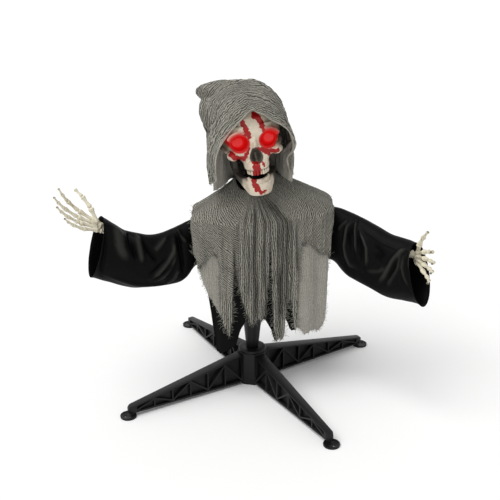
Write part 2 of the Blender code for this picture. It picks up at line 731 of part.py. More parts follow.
def leg_shape():
    """One leg along +X: a tapered beam with a top flange, a web, a rim and zigzag ribs."""
    root = HUB_ACROSS / 2 + CLEARANCE
    side_outline = [(root, leg_underside(root)), (LEG_REACH, LEG_TIP_UNDERSIDE),
                    (LEG_REACH, LEG_TIP_TOP - LEG_FLANGE), (LEG_REACH - LEG_FLANGE, LEG_TIP_TOP),
                    (root, leg_top(root))]
    leg = plate("leg", side_outline, -LEG_ROOT_WIDTH, LEG_ROOT_WIDTH)
    half_root = LEG_ROOT_WIDTH / 2
    half_tip = LEG_TIP_WIDTH / 2
    plan_outline = [(root - OVERRUN, -half_root), (LEG_REACH - half_tip, -half_tip),
                    (LEG_REACH, -half_tip / 2), (LEG_REACH, half_tip / 2),
                    (LEG_REACH - half_tip, half_tip), (root - OVERRUN, half_root)]
    leg = keep_inside(leg, plate("leg_plan", plan_outline, -OVERRUN, HUB_TOP + OVERRUN, plane="XY"))
    leg = cut(leg, leg_pockets(1), leg_pockets(-1))
    tongue = box("tongue", (HUB_ACROSS / 2 - LEG_TONGUE_DEPTH, -LEG_TONGUE_WIDTH / 2, LEG_ROOT_UNDERSIDE),
                 (root + LEG_FLANGE / 2, LEG_TONGUE_WIDTH / 2, LEG_ROOT_TOP - LEG_TONGUE_DROP))
    leg = join(leg, tongue)
    neck_at = LEG_REACH - TAB_NECK_IN
    socket = rod_between("socket", (neck_at, 0, 0), (neck_at, 0, LEG_TIP_UNDERSIDE + LEG_FLANGE),
                         TAB_NECK_RADIUS + CLEARANCE, sides=12)
    return cut(leg, socket)


def build_legs():
    pattern = leg_shape()
    smooth(paint(pattern, "black_plastic"), 30.0)
    for index, corner in enumerate(("rear_left", "rear_right", "front_right", "front_left")):
        leg = bpy.data.objects.new(f"leg_{corner}", pattern.data)
        leg.rotation_euler = (0, 0, leg_angle(index))
        PARTS.objects.link(leg)
        build_foot_tab(f"foot_tab_{corner}", leg_angle(index))
    bpy.data.objects.remove(pattern)


def build_foot_tab(name, angle):
    """A round tab under the tip of a leg, with a stake hole in its outer half."""
    recess = TAB_THICKNESS - TAB_RECESS
    profile = [(0.0, 0.0), (TAB_RADIUS, 0.0), (TAB_RADIUS, TAB_THICKNESS),
               (TAB_RADIUS - TAB_RIM, TAB_THICKNESS), (TAB_RADIUS - TAB_RIM, recess), (0.0, recess)]
    tab = turned(name, profile, "black_plastic", sides=14)
    hole = rod_between("hole", (TAB_HOLE_OUT, 0, -OVERRUN), (TAB_HOLE_OUT, 0, TAB_THICKNESS + OVERRUN),
                       TAB_HOLE_RADIUS, sides=8)
    neck_top = LEG_TIP_UNDERSIDE + LEG_FLANGE - CLEARANCE
    neck = rod_between("neck", (-TAB_NECK_IN, 0, recess / 2), (-TAB_NECK_IN, 0, neck_top), TAB_NECK_RADIUS,
                       sides=12)
    tab = join(cut(tab, hole), neck)
    tab.location = (LEG_REACH * math.cos(angle), LEG_REACH * math.sin(angle), 0)
    tab.rotation_euler = (0, 0, angle)


def build_hub():
    """Eight-sided hub with a pole socket and four slots for the legs' tongues."""
    sides = 2 * LEG_COUNT
    corner = HUB_ACROSS / 2 / math.cos(math.pi / sides)
    place = Matrix.Translation((0, 0, HUB_TOP / 2)) @ Matrix.Rotation(STAND_TURN + math.pi / sides, 4, "Z")
    bm = bmesh.new()
    bmesh.ops.create_cone(bm, cap_ends=True, segments=sides, radius1=corner, radius2=corner,
                          depth=HUB_TOP, matrix=place)
    hub = add_mesh("hub", bm, "black_plastic")
    socket = rod_between("socket", (0, 0, HUB_FLOOR), (0, 0, HUB_TOP + OVERRUN), POLE_RADIUS + CLEARANCE,
                         sides=20)
    slots = []
    for index in range(LEG_COUNT):
        slot = box("slot", (HUB_ACROSS / 2 - LEG_TONGUE_DEPTH - CLEARANCE, -LEG_TONGUE_WIDTH / 2 - CLEARANCE,
                            -OVERRUN),
                   (HUB_ACROSS / 2 + OVERRUN, LEG_TONGUE_WIDTH / 2 + CLEARANCE,
                    LEG_ROOT_TOP - LEG_TONGUE_DROP + CLEARANCE))
        slot.data.transform(Matrix.Rotation(leg_angle(index), 4, "Z"))
        slots.append(slot)
    cut(hub, socket, merge_cutters(slots))
    low = HUB_TOP + CLEARANCE
    high = low + COLLAR_THICKNESS
    bore = POLE_RADIUS + CLEARANCE
    profile = [(bore, low), (COLLAR_RADIUS, low), (COLLAR_RADIUS, high - COLLAR_CHAMFER),
               (COLLAR_RADIUS - COLLAR_CHAMFER, high), (bore, high)]
    smooth(turned("hub_collar", profile, "black_plastic", sides=20))


def build_pole():
    """A steel tube in the hub, and a pedestal round it that widens upwards."""
    bottom = HUB_FLOOR + CLEARANCE
    inner = POLE_RADIUS - POLE_WALL
    profile = [(inner, bottom), (POLE_RADIUS, bottom), (POLE_RADIUS, POLE_TOP), (inner, POLE_TOP)]
    smooth(turned("pole", profile, "black_steel", sides=20))
    bore = POLE_RADIUS + CLEARANCE
    middle = PEDESTAL_FOOT + PEDESTAL_HEIGHT * PEDESTAL_MIDDLE_SHARE
    lip = PEDESTAL_TOP - PEDESTAL_WALL
    profile = [(bore, PEDESTAL_FOOT), (bore + PEDESTAL_FOOT_WALL, PEDESTAL_FOOT),
               (PEDESTAL_MIDDLE_RADIUS, middle), (PEDESTAL_TOP_RADIUS, lip),
               (PEDESTAL_TOP_RADIUS, PEDESTAL_TOP), (bore, PEDESTAL_TOP),
               (bore, lip), (PEDESTAL_TOP_RADIUS - PEDESTAL_WALL, lip),
               (PEDESTAL_MIDDLE_RADIUS - PEDESTAL_WALL, middle), (bore, PEDESTAL_FOOT + PEDESTAL_WALL)]
    smooth(turned("pedestal", profile, "black_plastic", sides=18))


def gear_outline(teeth):
    """Straight-sided teeth round a pitch circle, a little narrow for running."""
    pitch = GEAR_MODULE * teeth / 2
    tip = pitch + GEAR_MODULE * GEAR_TIP_SHARE
    root = pitch - GEAR_MODULE * GEAR_ROOT_SHARE
    tooth = 2 * math.pi / teeth
    slack = GEAR_BACKLASH / pitch
    half_root = tooth * TOOTH_ROOT_SHARE - slack
    half_tip = tooth * TOOTH_TIP_SHARE - slack
    outline = []
    for index in range(teeth):
        middle = index * tooth
        for radius, angle in ((root, -half_root), (tip, -half_tip), (tip, half_tip), (root, half_root)):
            outline.append((radius * math.cos(middle + angle), radius * math.sin(middle + angle)))
    return outline


def build_drive():
    """A gear fixed on the pole, the motor's pinion beside it, and the motor above."""
    high = GEAR_BOTTOM + GEAR_THICKNESS
    gear = plate("turn_gear", gear_outline(GEAR_TEETH), GEAR_BOTTOM, high, "white_plastic", "XY")
    cut(gear, rod_between("bore", (0, 0, GEAR_BOTTOM - OVERRUN), (0, 0, high + OVERRUN),
                          POLE_RADIUS + CLEARANCE, sides=20))
    gap = PINION_DISTANCE
    box_low = high + 2 * CLEARANCE
    shaft_top = box_low + GEARBOX_HEIGHT / 2
    pinion = plate("drive_pinion", gear_outline(PINION_TEETH), GEAR_BOTTOM, high, "brass", "XY")
    pinion.data.transform(Matrix.Rotation(math.pi + math.pi / PINION_TEETH, 4, "Z"))
    pinion = join(pinion, rod_between("shaft", (0, 0, GEAR_BOTTOM + GEAR_THICKNESS / 2), (0, 0, shaft_top),
                                      PINION_SHAFT_RADIUS, sides=12))
    pinion.location = (gap, 0, 0)
    half = GEARBOX_SIDE / 2
    can_low = box_low + GEARBOX_HEIGHT
    motor = box("gear_motor", (gap - half, -half, box_low), (gap + half, half, can_low), "steel")
    can = rod_between("can", (gap, 0, can_low - OVERRUN), (gap, 0, can_low + MOTOR_LENGTH), MOTOR_RADIUS,
                      sides=16)
    bore = rod_between("bore", (gap, 0, box_low - OVERRUN), (gap, 0, shaft_top + CLEARANCE),
                       PINION_SHAFT_RADIUS + CLEARANCE, sides=12)
    smooth(cut(join(motor, can), bore))


# Torso

def housing_half(name, side):
    """One half of the rounded shell, with its motor rib; side is -1 for the front and 1 for the rear."""
    wall = HOUSING_WALL
    width = HOUSING_HALF_WIDTH
    depth = HOUSING_HALF_DEPTH
    outer = box(name, (-width, -depth, HOUSING_BOTTOM), (width, depth, HOUSING_TOP), "black_plastic",
                HOUSING_ROUND)
    inner = box("inner", (-width + wall, -depth + wall, HOUSING_BOTTOM + wall),
                (width - wall, depth - wall, HOUSING_TOP - wall), None, HOUSING_ROUND - wall)
    shell = cut(outer, inner)
    reach = 2 * width
    low_y, high_y = (-reach, CLEARANCE / 2) if side > 0 else (-CLEARANCE / 2, reach)
    shell = cut(shell, box("half", (-reach, low_y, 0), (reach, high_y, 2 * HOUSING_TOP)))
    bush_hole = POLE_RADIUS + 2 * CLEARANCE + TURN_BUSH_WALL
    shell = cut(shell, rod_between("bottom_hole", (0, 0, HOUSING_BOTTOM - OVERRUN),
                                   (0, 0, HOUSING_BOTTOM + 2 * wall), bush_hole, sides=20),
                rod_between("neck_hole", (0, 0, HOUSING_TOP - 2 * wall), (0, 0, HOUSING_TOP + OVERRUN),
                            NECK_RADIUS + CLEARANCE, sides=20))
    for hand in (-1, 1):
        shell = cut(shell, rod_between("arm_hole", (hand * (width - 2 * wall), 0, SHOULDER_HEIGHT),
                                       (hand * (width + OVERRUN), 0, SHOULDER_HEIGHT),
                                       SHOULDER_BUSH_RADIUS + CLEARANCE, sides=16))
    across = PINION_DISTANCE
    low = GEAR_BOTTOM + GEAR_THICKNESS + 2 * CLEARANCE
    near = side * (GEARBOX_SIDE / 2 + CLEARANCE)
    far = side * (depth - wall / 2)
    rib = box("rib", (across - MOTOR_RIB / 2, min(near, far), low),
              (across + MOTOR_RIB / 2, max(near, far), low + GEARBOX_HEIGHT))
    return join(shell, rib)


def screw_places():
    """Two screws on each side of the housing, low and high."""
    across = HOUSING_HALF_WIDTH - SCREW_INSET
    heights = (HOUSING_BOTTOM + SCREW_LIFT, SHOULDER_HEIGHT - SCREW_DROP)
    return [(hand * across, height) for height in heights for hand in (-1, 1)]


def speaker_place():
    return SPEAKER_INSET - HOUSING_HALF_WIDTH, HOUSING_BOTTOM + SPEAKER_LIFT


def tray_box():
    """Half width, low, high and floor of the space that holds the battery cells."""
    half_width = CELL_LENGTH / 2 + CLEARANCE
    low = HOUSING_BOTTOM + CELL_LIFT
    high = low + CELL_COUNT * 2 * CELL_RADIUS + (CELL_COUNT + 1) * CELL_SPACING
    floor = HOUSING_HALF_DEPTH - HOUSING_WALL - 2 * CELL_RADIUS - 2 * CLEARANCE
    return half_width, low, high, floor


def switch_place():
    return SWITCH_INSET - HOUSING_HALF_WIDTH, HOUSING_BOTTOM + SWITCH_LIFT


def build_front_shell():
    """Front half of the housing, with a ring of holes for the speaker."""
    across, up = speaker_place()
    places = [(across, up)]
    for index in range(SPEAKER_HOLES):
        angle = 2 * math.pi * index / SPEAKER_HOLES
        places.append((across + SPEAKER_HOLE_RING * math.cos(angle),
                       up + SPEAKER_HOLE_RING * math.sin(angle)))
    face = -HOUSING_HALF_DEPTH
    holes = []
    for x, z in places:
        holes.append(rod_between("hole", (x, face - OVERRUN, z), (x, face + 2 * HOUSING_WALL, z),
                                 SPEAKER_HOLE_RADIUS, sides=8))
    smooth(cut(housing_half("torso_front_shell", -1), merge_cutters(holes)))


def build_rear_shell():
    """Rear half of the housing, with the battery tray, the switch slot and the screws' bosses."""
    rear = housing_half("torso_rear_shell", 1)
    back = HOUSING_HALF_DEPTH
    half, low, high, floor = tray_box()
    wall = TRAY_WALL
    rear = join(rear, box("tray", (-half - wall, floor - wall, low - wall),
                          (half + wall, back - wall, high + wall)))
    rear = cut(rear, box("bay", (-half, floor, low), (half, back + OVERRUN, high)))
    across, up = switch_place()
    half_wide = SWITCH_SLOT_WIDTH / 2
    half_high = SWITCH_SLOT_HEIGHT / 2
    rear = cut(rear, box("slot", (across - half_wide, back - 2 * HOUSING_WALL, up - half_high),
                         (across + half_wide, back + OVERRUN, up + half_high)))
    head = back - SCREW_HEAD_SUNK
    under_head = head - SCREW_HEAD_THICKNESS
    for index, (x, z) in enumerate(screw_places()):
        rear = join(rear, rod_between("boss", (x, CLEARANCE / 2, z), (x, back - HOUSING_WALL / 2, z),
                                      SCREW_HEAD_RADIUS + SCREW_BOSS_WALL, sides=10))
        rear = cut(rear, rod_between("seat", (x, under_head, z), (x, back + OVERRUN, z),
                                     SCREW_HEAD_RADIUS + CLEARANCE, sides=10),
                   rod_between("bore", (x, -OVERRUN, z), (x, back, z), SCREW_RADIUS + CLEARANCE, sides=10))
        screw = rod_between(f"shell_screw_{index + 1}", (x, under_head + CLEARANCE, z), (x, head, z),
                            SCREW_HEAD_RADIUS, "steel", sides=10)
        smooth(join(screw, rod_between("shank", (x, under_head - SCREW_LENGTH, z),
                                       (x, (under_head + head) / 2, z), SCREW_RADIUS, sides=8)))
    smooth(rear)


def build_bushes():
    """A flanged bush on the pole and one in each shoulder hole."""
    inner = POLE_RADIUS + CLEARANCE
    outer = inner + TURN_BUSH_WALL
    low = PEDESTAL_TOP + CLEARANCE
    flange_top = low + TURN_BUSH_FLANGE
    top = HOUSING_BOTTOM + 2 * HOUSING_WALL
    profile = [(inner, low), (outer + TURN_BUSH_RIM, low), (outer + TURN_BUSH_RIM, flange_top),
               (outer, flange_top), (outer, top), (inner, top)]
    smooth(turned("turn_bush", profile, "white_plastic", sides=16))
    bore = ROD_RADIUS + CLEARANCE
    rim = SHOULDER_BUSH_RADIUS + SHOULDER_BUSH_RIM
    body = SHOULDER_BUSH_LENGTH - SHOULDER_BUSH_FLANGE
    profile = [(bore, 0.0), (SHOULDER_BUSH_RADIUS, 0.0), (SHOULDER_BUSH_RADIUS, body),
               (rim, body), (rim, SHOULDER_BUSH_LENGTH), (bore, SHOULDER_BUSH_LENGTH)]
    for side, hand in HANDS:
        bush = turned(f"shoulder_bush_{side}", profile, "white_plastic", sides=14)
        bush.location = (hand * (HOUSING_HALF_WIDTH + CLEARANCE - body), 0, SHOULDER_HEIGHT)
        bush.rotation_euler = (0, hand * math.pi / 2, 0)
        smooth(bush)


def build_sound():
    """Speaker behind its holes, and a circuit board on two feet."""
    across, up = speaker_place()
    face = -HOUSING_HALF_DEPTH + HOUSING_WALL + CLEARANCE
    half_deep = face + SPEAKER_DEPTH / 2
    speaker = rod_between("speaker", (across, face, up), (across, half_deep, up), SPEAKER_RADIUS,
                          "black_plastic", sides=20)
    magnet = rod_between("magnet", (across, (face + half_deep) / 2, up), (across, face + SPEAKER_DEPTH, up),
                         SPEAKER_MAGNET_RADIUS, sides=12)
    smooth(join(speaker, magnet))
    middle = HOUSING_HALF_WIDTH - BOARD_INSET
    up = HOUSING_BOTTOM + BOARD_LIFT
    near = face + BOARD_STANDOFF
    far = near + BOARD_THICKNESS
    board = box("circuit_board", (middle - BOARD_WIDTH / 2, near, up - BOARD_HEIGHT / 2),
                (middle + BOARD_WIDTH / 2, far, up + BOARD_HEIGHT / 2), "board_green")
    for hand in (-1, 1):
        foot = middle + hand * BOARD_WIDTH / 4
        board = join(board, rod_between("foot", (foot, face, up), (foot, (near + far) / 2, up),
                                        2 * SCREW_RADIUS, sides=8))


def build_batteries():
    """Cells in their tray, and the door that slides down over them."""
    half, low, high, floor = tray_box()
    depth = floor + CLEARANCE + CELL_RADIUS
    for index in range(CELL_COUNT):
        height = low + CELL_SPACING + CELL_RADIUS + index * (2 * CELL_RADIUS + CELL_SPACING)
        smooth(rod_between(f"battery_cell_{index + 1}", (-CELL_LENGTH / 2, depth, height),
                           (CELL_LENGTH / 2, depth, height), CELL_RADIUS, "cell_case", sides=14))
    outside = HOUSING_HALF_DEPTH + CLEARANCE
    face = outside + DOOR_THICKNESS
    door = box("battery_door", (-half - DOOR_LIP, outside, low - DOOR_LIP),
               (half + DOOR_LIP, face, high + DOOR_LIP), "black_plastic")
    for index in range(DOOR_GRIP_RIBS):
        height = low + index * DOOR_GRIP_STEP
        door = join(door, box("rib", (-half / 3, outside + DOOR_THICKNESS / 2, height),
                              (half / 3, face + DOOR_GRIP_RIB, height + DOOR_GRIP_RIB)))


def build_switch():
    across, up = switch_place()
    inside = HOUSING_HALF_DEPTH - HOUSING_WALL - CLEARANCE
    box("switch_body", (across - SWITCH_SLOT_WIDTH, inside - SWITCH_BODY_DEPTH, up - SWITCH_SLOT_HEIGHT),
        (across + SWITCH_SLOT_WIDTH, inside, up + SWITCH_SLOT_HEIGHT), "steel")
    low = across - SWITCH_SLOT_WIDTH / 2 + CLEARANCE
    box("switch_knob", (low, inside + CLEARANCE, up - KNOB_SIDE / 2),
        (low + KNOB_SIDE, HOUSING_HALF_DEPTH + KNOB_STAND_OUT - HOUSING_WALL, up + KNOB_SIDE / 2),
        "black_plastic")


def build_neck():
    """A stepped post that stands in the housing's top, and the bush on which the head turns."""
    seat = HOUSING_TOP + CLEARANCE
    profile = [(0.0, HOUSING_TOP - NECK_TENON), (NECK_RADIUS, HOUSING_TOP - NECK_TENON), (NECK_RADIUS, seat),
               (NECK_FLANGE_RADIUS, seat), (NECK_FLANGE_RADIUS, seat + NECK_FLANGE),
               (NECK_RADIUS, seat + 2 * NECK_FLANGE), (NECK_RADIUS, NECK_SEAT - 2 * NECK_FLANGE),
               (NECK_FLANGE_RADIUS, NECK_SEAT - NECK_FLANGE), (NECK_FLANGE_RADIUS, NECK_SEAT),
               (NECK_RADIUS, NECK_SEAT), (NECK_RADIUS, NECK_TOP), (0.0, NECK_TOP)]
    smooth(turned("neck_post", profile, "black_plastic", sides=16))
    bore = NECK_RADIUS + CLEARANCE
    low = NECK_SEAT + CLEARANCE
    profile = [(bore, low), (NECK_FLANGE_RADIUS, low), (NECK_FLANGE_RADIUS, NECK_TOP), (bore, NECK_TOP)]
    smooth(turned("head_bush", profile, "white_plastic", sides=16))


def hanger_route(side, hand):
    """From the collar out under the ridge of the robe, as far as the hanger's end share."""
    height = NECK_SEAT - HANGER_COLLAR_DROP
    start = NECK_RADIUS + CLEARANCE + HANGER_COLLAR_WALL / 2
    route = [Vector((hand * start, 0.0, height))]
    turn = hand * math.pi / 2
    yokes = (1 / YOKE_ROWS, 2 / YOKE_ROWS, HANGER_END_SHARE)
    rows = [body_cloth_place(turn, False, yoke, 0.0, 0.0) for yoke in yokes[:2] + (1.0,)]
    steepest = (rows[2] - rows[1]).normalized()
    below = (PANEL_THICKNESS / 2 + HANGER_RADIUS + CLEARANCE) / abs(steepest.x)
    last_share = (HANGER_END_SHARE - yokes[1]) / (1 - yokes[1])
    for point in (rows[0], rows[1], rows[1].lerp(rows[2], last_share)):
        route.append(Vector((point.x, 0.0, point.z - below)))
    return route


def build_hanger():
    """A bent wire on each side of the neck, on one collar, that carries the robe."""
    low = NECK_SEAT - HANGER_COLLAR_DROP - HANGER_COLLAR_LENGTH / 2
    inner = NECK_RADIUS + CLEARANCE
    outer = inner + HANGER_COLLAR_WALL
    high = low + HANGER_COLLAR_LENGTH
    hanger = turned("shoulder_hanger", [(inner, low), (outer, low), (outer, high), (inner, high)],
                    "black_steel", sides=20)
    for side, hand in HANDS:
        route = hanger_route(side, hand)
        hanger = join(hanger, tube("arm", route, [HANGER_RADIUS] * len(route), resolution=1))
    smooth(hanger)


# Head

def head_place():
    turn = Euler((HEAD_NOD, HEAD_ROLL, 0.0)).to_matrix().to_4x4()
    return Matrix.Translation(HEAD_PIVOT) @ Matrix.Rotation(HEAD_TURN, 4, "Z") @ turn


def mirrored(place, hand):
    return (hand * place[0], place[1], place[2])


def arch_side():
    """Points of the left side of the dental arch, from the middle of the front."""
    return [Vector((ARCH_HALF_WIDTH * wide, ARCH_LENGTH * long - ARCH_FRONT)) for wide, long in ARCH_SHARES]


def arch_point(distance):
    """The place at a distance along one side of the dental arch."""
    side = arch_side()
    left = abs(distance)
    for start, end in zip(side, side[1:]):
        length = (end - start).length
        if left <= length:
            at = start.lerp(end, left / length)
            return Vector((math.copysign(at.x, distance), at.y))
        left -= length
    return side[-1]


def add_teeth(bone, root_height, tip_height, forward):
    """Evenly spread teeth along the front of the dental arch."""
    for index in range(TOOTH_COUNT):
        at = arch_point(TOOTH_SPREAD * ((index + 0.5) / TOOTH_COUNT - 0.5))
        depth = at.y - forward
        bone = join(bone, rod_between("tooth", (at.x, depth, root_height), (at.x, depth, tip_height),
                                      TOOTH_RADIUS, sides=6, end_radius=TOOTH_RADIUS * TOOTH_TAPER_SHARE))
    return bone


def face_rings():
    rings = []
    for rise, half_width, front, back in FACE_RING_SHARES:
        rings.append((FACE_HEIGHT * rise - FACE_DROP, FACE_HALF_WIDTH * half_width,
                      -FACE_REACH * front, -FACE_REACH * back))
    return rings


def add_side_bones(skull, hand):
    """Cheekbone, cheek arch and brow ridge of one side."""
    skull = join(skull, ball("cheek", mirrored(CHEEK_CENTRE, hand), CHEEK_RADII, sides=10, rings=6))
    arch = even_curve([mirrored(place, hand) for place in (CHEEK_CENTRE, CHEEK_ARCH_BACK, CHEEK_ARCH_END)], 5)
    skull = join(skull, tube("arch", arch, [CHEEK_ARCH_RADIUS] * len(arch), resolution=1))
    brow = []
    steps = 5
    for step in range(steps + 1):
        angle = BROW_START + BROW_SWEEP * step / steps
        brow.append((hand * ORBIT_CENTRE[0] + (ORBIT_RADII[0] + BROW_RADIUS / 2) * math.cos(angle),
                     ORBIT_CENTRE[1] + ORBIT_RADII[1] / 3,
                     ORBIT_CENTRE[2] + (ORBIT_RADII[2] + BROW_RADIUS / 2) * math.sin(angle)))
    return join(skull, tube("brow", brow, [BROW_RADIUS] * len(brow), resolution=1))


def cut_orbit(skull, hand):
    """Eye socket, with a round seat for the lamp at its bottom."""
    across, front, up = mirrored(ORBIT_CENTRE, hand)
    seat = rod_between("seat", (across, front + ORBIT_DEPTH, up), (across, front, up),
                       LAMP_RADIUS + CLEARANCE, sides=16)
    return cut(skull, ball("orbit", (across, front, up), ORBIT_RADII, sides=12, rings=7), seat)


def add_jaw_lug(skull, hand):
    """A lug under the skull that carries one end of the jaw's hinge, bored for its pin."""
    near = hand * JAW_LUG_HALF_GAP
    far = hand * (JAW_LUG_HALF_GAP + JAW_LUG_THICKNESS)
    skull = join(skull, box("lug", (min(near, far), JAW_PIVOT.y - JAW_KNUCKLE, JAW_PIVOT.z - JAW_KNUCKLE),
                            (max(near, far), JAW_PIVOT.y + JAW_KNUCKLE, OVERRUN)))
    return cut(skull, jaw_bore(hand))


def jaw_bore(hand):
    """Cutter for the hinge pin, through the lug and the jaw."""
    return rod_between("bore", (hand * (JAW_LUG_HALF_GAP - OVERRUN), JAW_PIVOT.y, JAW_PIVOT.z),
                       (hand * (ARCH_HALF_WIDTH + JAW_BONE), JAW_PIVOT.y, JAW_PIVOT.z),
                       JAW_PIN_RADIUS + CLEARANCE, sides=10)


def neck_cylinder(low, high, radius):
    """An upright cylinder round the neck, in the head's own coordinates."""
    obj = rod_between("neck", (0, 0, low), (0, 0, high), radius, sides=16)
    obj.data.transform(head_place().inverted())
    return obj


def skull_hollow():
    """Space inside the cranium, set back behind the sockets, with a floor above the skull's base."""
    across, deep, up = CRANIUM_RADII
    radii = (across - SKULL_WALL, deep - (SKULL_WALL + SKULL_FRONT_WALL) / 2, up - SKULL_WALL)
    centre = (0, CRANIUM_BACK + (SKULL_FRONT_WALL - SKULL_WALL) / 2, CRANIUM_LIFT)
    hollow = ball("hollow", centre, radii, sides=10, rings=6)
    wide = 2 * max(CRANIUM_RADII)
    return cut(hollow, box("floor", (-wide, -wide, -wide), (wide, wide, SKULL_WALL)))


def build_skull():
    """Hollow cranium, face and cheeks joined, then cut for the eye lamps, the nose and the neck."""
    skull = ball("skull_face", (0, CRANIUM_BACK, CRANIUM_LIFT), CRANIUM_RADII, "bone", sides=18, rings=11)
    wide = 2 * max(CRANIUM_RADII)
    skull = cut(skull, box("base_cut", (-wide, -wide, -wide), (wide, wide, 0)))
    skull = join(skull, stacked("face", face_rings()))
    skull = cut(skull, skull_hollow())
    socket = NECK_FLANGE_RADIUS + CLEARANCE
    skull = join(skull, neck_cylinder(NECK_TOP - NECK_SOCKET_DEPTH, HEAD_PIVOT.z + CRANIUM_LIFT,
                                      socket + NECK_SOCKET_WALL))
    for hand in (-1, 1):
        skull = add_side_bones(skull, hand)
    skull = join(skull, ball("bridge", NOSE_BRIDGE_CENTRE, NOSE_BRIDGE_RADII, sides=10, rings=8))
    for hand in (-1, 1):
        skull = cut_orbit(skull, hand)
    skull = cut(skull, ball("nose", NOSE_CENTRE, NOSE_RADII, sides=10, rings=7))
    root = OVERRUN - FACE_DROP
    skull = add_teeth(skull, root, root - TOOTH_LENGTH, UPPER_TEETH_FORWARD)
    for hand in (-1, 1):
        skull = add_jaw_lug(skull, hand)
    skull = cut(skull, neck_cylinder(NECK_SEAT - NECK_FLANGE, NECK_TOP + CLEARANCE, socket))
    back = bpy.data.objects.new("skull_back", skull.data.copy())
    PARTS.objects.link(back)
    paint(back, "bone")
    skull = cut(skull, box("behind", (-wide, SKULL_SPLIT - CLEARANCE / 2, -wide), (wide, wide, wide)))
    back = cut(back, box("before", (-wide, -wide, -wide), (wide, SKULL_SPLIT + CLEARANCE / 2, wide)))
    for obj in (skull, back):
        obj.matrix_world = head_place()
        smooth(obj, 50.0)


def build_eye_lamps():
    """A red lens in each socket: a short drum with a domed front."""
    profile = [(0.0, 0.0), (LAMP_RADIUS, 0.0)]
    steps = 4
    for step in range(steps + 1):
        angle = step * math.pi / 2 / steps
        profile.append((LAMP_RADIUS * math.cos(angle), LAMP_RIM + LAMP_DOME * math.sin(angle)))
    profile[-1] = (0.0, LAMP_RIM + LAMP_DOME)
    for side, hand in HANDS:
        lamp = turned(f"eye_lamp_{side}", profile, "lamp_red", sides=16)
        across, front, up = mirrored(ORBIT_CENTRE, hand)
        lamp.data.transform(Matrix.Translation((across, front + ORBIT_DEPTH - CLEARANCE, up))
                            @ Matrix.Rotation(math.pi / 2, 4, "X"))
        lamp.matrix_world = head_place()
        smooth(lamp)


def jaw_plan():
    """Horseshoe outline of the jaw from above, half a bone's width each side of the arch."""
    corners = arch_side()
    outs = [Vector((0.0, -1.0))]
    for before, after in zip(corners, corners[2:] + corners[-1:]):
        along = (after - before).normalized()
        outs.append(Vector((along.y, -along.x)))
    outer = [corner + out * JAW_BONE / 2 for corner, out in zip(corners, outs)]
    inner = [corner - out * JAW_BONE / 2 for corner, out in zip(corners, outs)]
    right_outer = [Vector((-p.x, p.y)) for p in outer[1:]]
    right_inner = [Vector((-p.x, p.y)) for p in inner[1:]]
    return outer + inner[::-1] + right_inner + right_outer[::-1]


def jaw_side():
    """Side outline: knuckle, ramus, angle, body and chin."""
    ramus_back = JAW_PIVOT.y + JAW_KNUCKLE
    ramus_front = ramus_back - JAW_RAMUS_DEPTH
    knuckle_top = JAW_PIVOT.z + JAW_KNUCKLE
    chin_front = -ARCH_FRONT - JAW_BONE
    outline = [(ramus_back, knuckle_top), (ramus_back, JAW_ANGLE_BOTTOM + JAW_KNUCKLE),
               (ramus_back - JAW_KNUCKLE, JAW_ANGLE_BOTTOM)]
    for reach, rise in CHIN_SHARES:
        outline.append((chin_front * reach, JAW_CHIN_BOTTOM + JAW_KNUCKLE * rise))
    outline += [(chin_front, JAW_TOP_OF_BODY), (ramus_front - JAW_KNUCKLE, JAW_TOP_OF_BODY),
                (ramus_front, JAW_TOP_OF_BODY + JAW_KNUCKLE), (ramus_front, JAW_PIVOT.z - JAW_KNUCKLE),
                (JAW_PIVOT.y - JAW_KNUCKLE, knuckle_top)]
    return outline


def jaw_place():
    """The jaw's place, swung open about its hinge."""
    swing = Matrix.Translation(JAW_PIVOT) @ Matrix.Rotation(JAW_OPEN, 4, "X") @ Matrix.Translation(-JAW_PIVOT)
    return head_place() @ swing


def build_jaw():
    """Jaw bone with teeth, hung open on its two pins."""
    wide = 2 * ARCH_HALF_WIDTH
    jaw = plate("jaw", jaw_plan(), JAW_CHIN_BOTTOM - OVERRUN, JAW_PIVOT.z + 2 * JAW_KNUCKLE, "bone", "XY")
    jaw = keep_inside(jaw, plate("side", jaw_side(), -wide, wide, None, "YZ"))
    tooth_top = OVERRUN - FACE_DROP - TOOTH_LENGTH - 2 * CLEARANCE
    jaw = add_teeth(jaw, JAW_TOP_OF_BODY - OVERRUN, tooth_top, 0.0)
    for side, hand in HANDS:
        jaw = cut(jaw, jaw_bore(hand))
        outer = ARCH_HALF_WIDTH + JAW_BONE / 2 + CLEARANCE
        inner = JAW_LUG_HALF_GAP + CLEARANCE
        pin = rod_between(f"jaw_pin_{side}", (hand * inner, JAW_PIVOT.y, JAW_PIVOT.z),
                          (hand * outer, JAW_PIVOT.y, JAW_PIVOT.z), JAW_PIN_RADIUS, "steel", sides=10)
        pin.matrix_world = head_place()
        smooth(pin)
    jaw.matrix_world = jaw_place()
    smooth(jaw, 50.0)


# Arms and hands

def rod_points(side, hand):
    """The rod's points outside the housing, from the shoulder bush to the wrist."""
    straight = HOUSING_HALF_WIDTH + SHOULDER_BUSH_FLANGE + 2 * ROD_RADIUS
    points = [Vector((hand * straight, 0.0, SHOULDER_HEIGHT))]
    for out, forward, rise in ARM_SHARES[side]:
        points.append(Vector((hand * ARM_OUT[side] * out, -ARM_FORWARD[side] * forward,
                              SHOULDER_HEIGHT + ARM_BEND[side] * rise)))
    return points


def build_rod(side, hand):
    inside = HOUSING_HALF_WIDTH + SHOULDER_BUSH_FLANGE - SHOULDER_BUSH_LENGTH
    route = [Vector((hand * inside, 0.0, SHOULDER_HEIGHT))]
    route += even_curve(rod_points(side, hand), ROD_STEPS - 1)
    smooth(tube(f"arm_rod_{side}", route, [ROD_RADIUS] * ROD_STEPS, "black_steel", resolution=2))


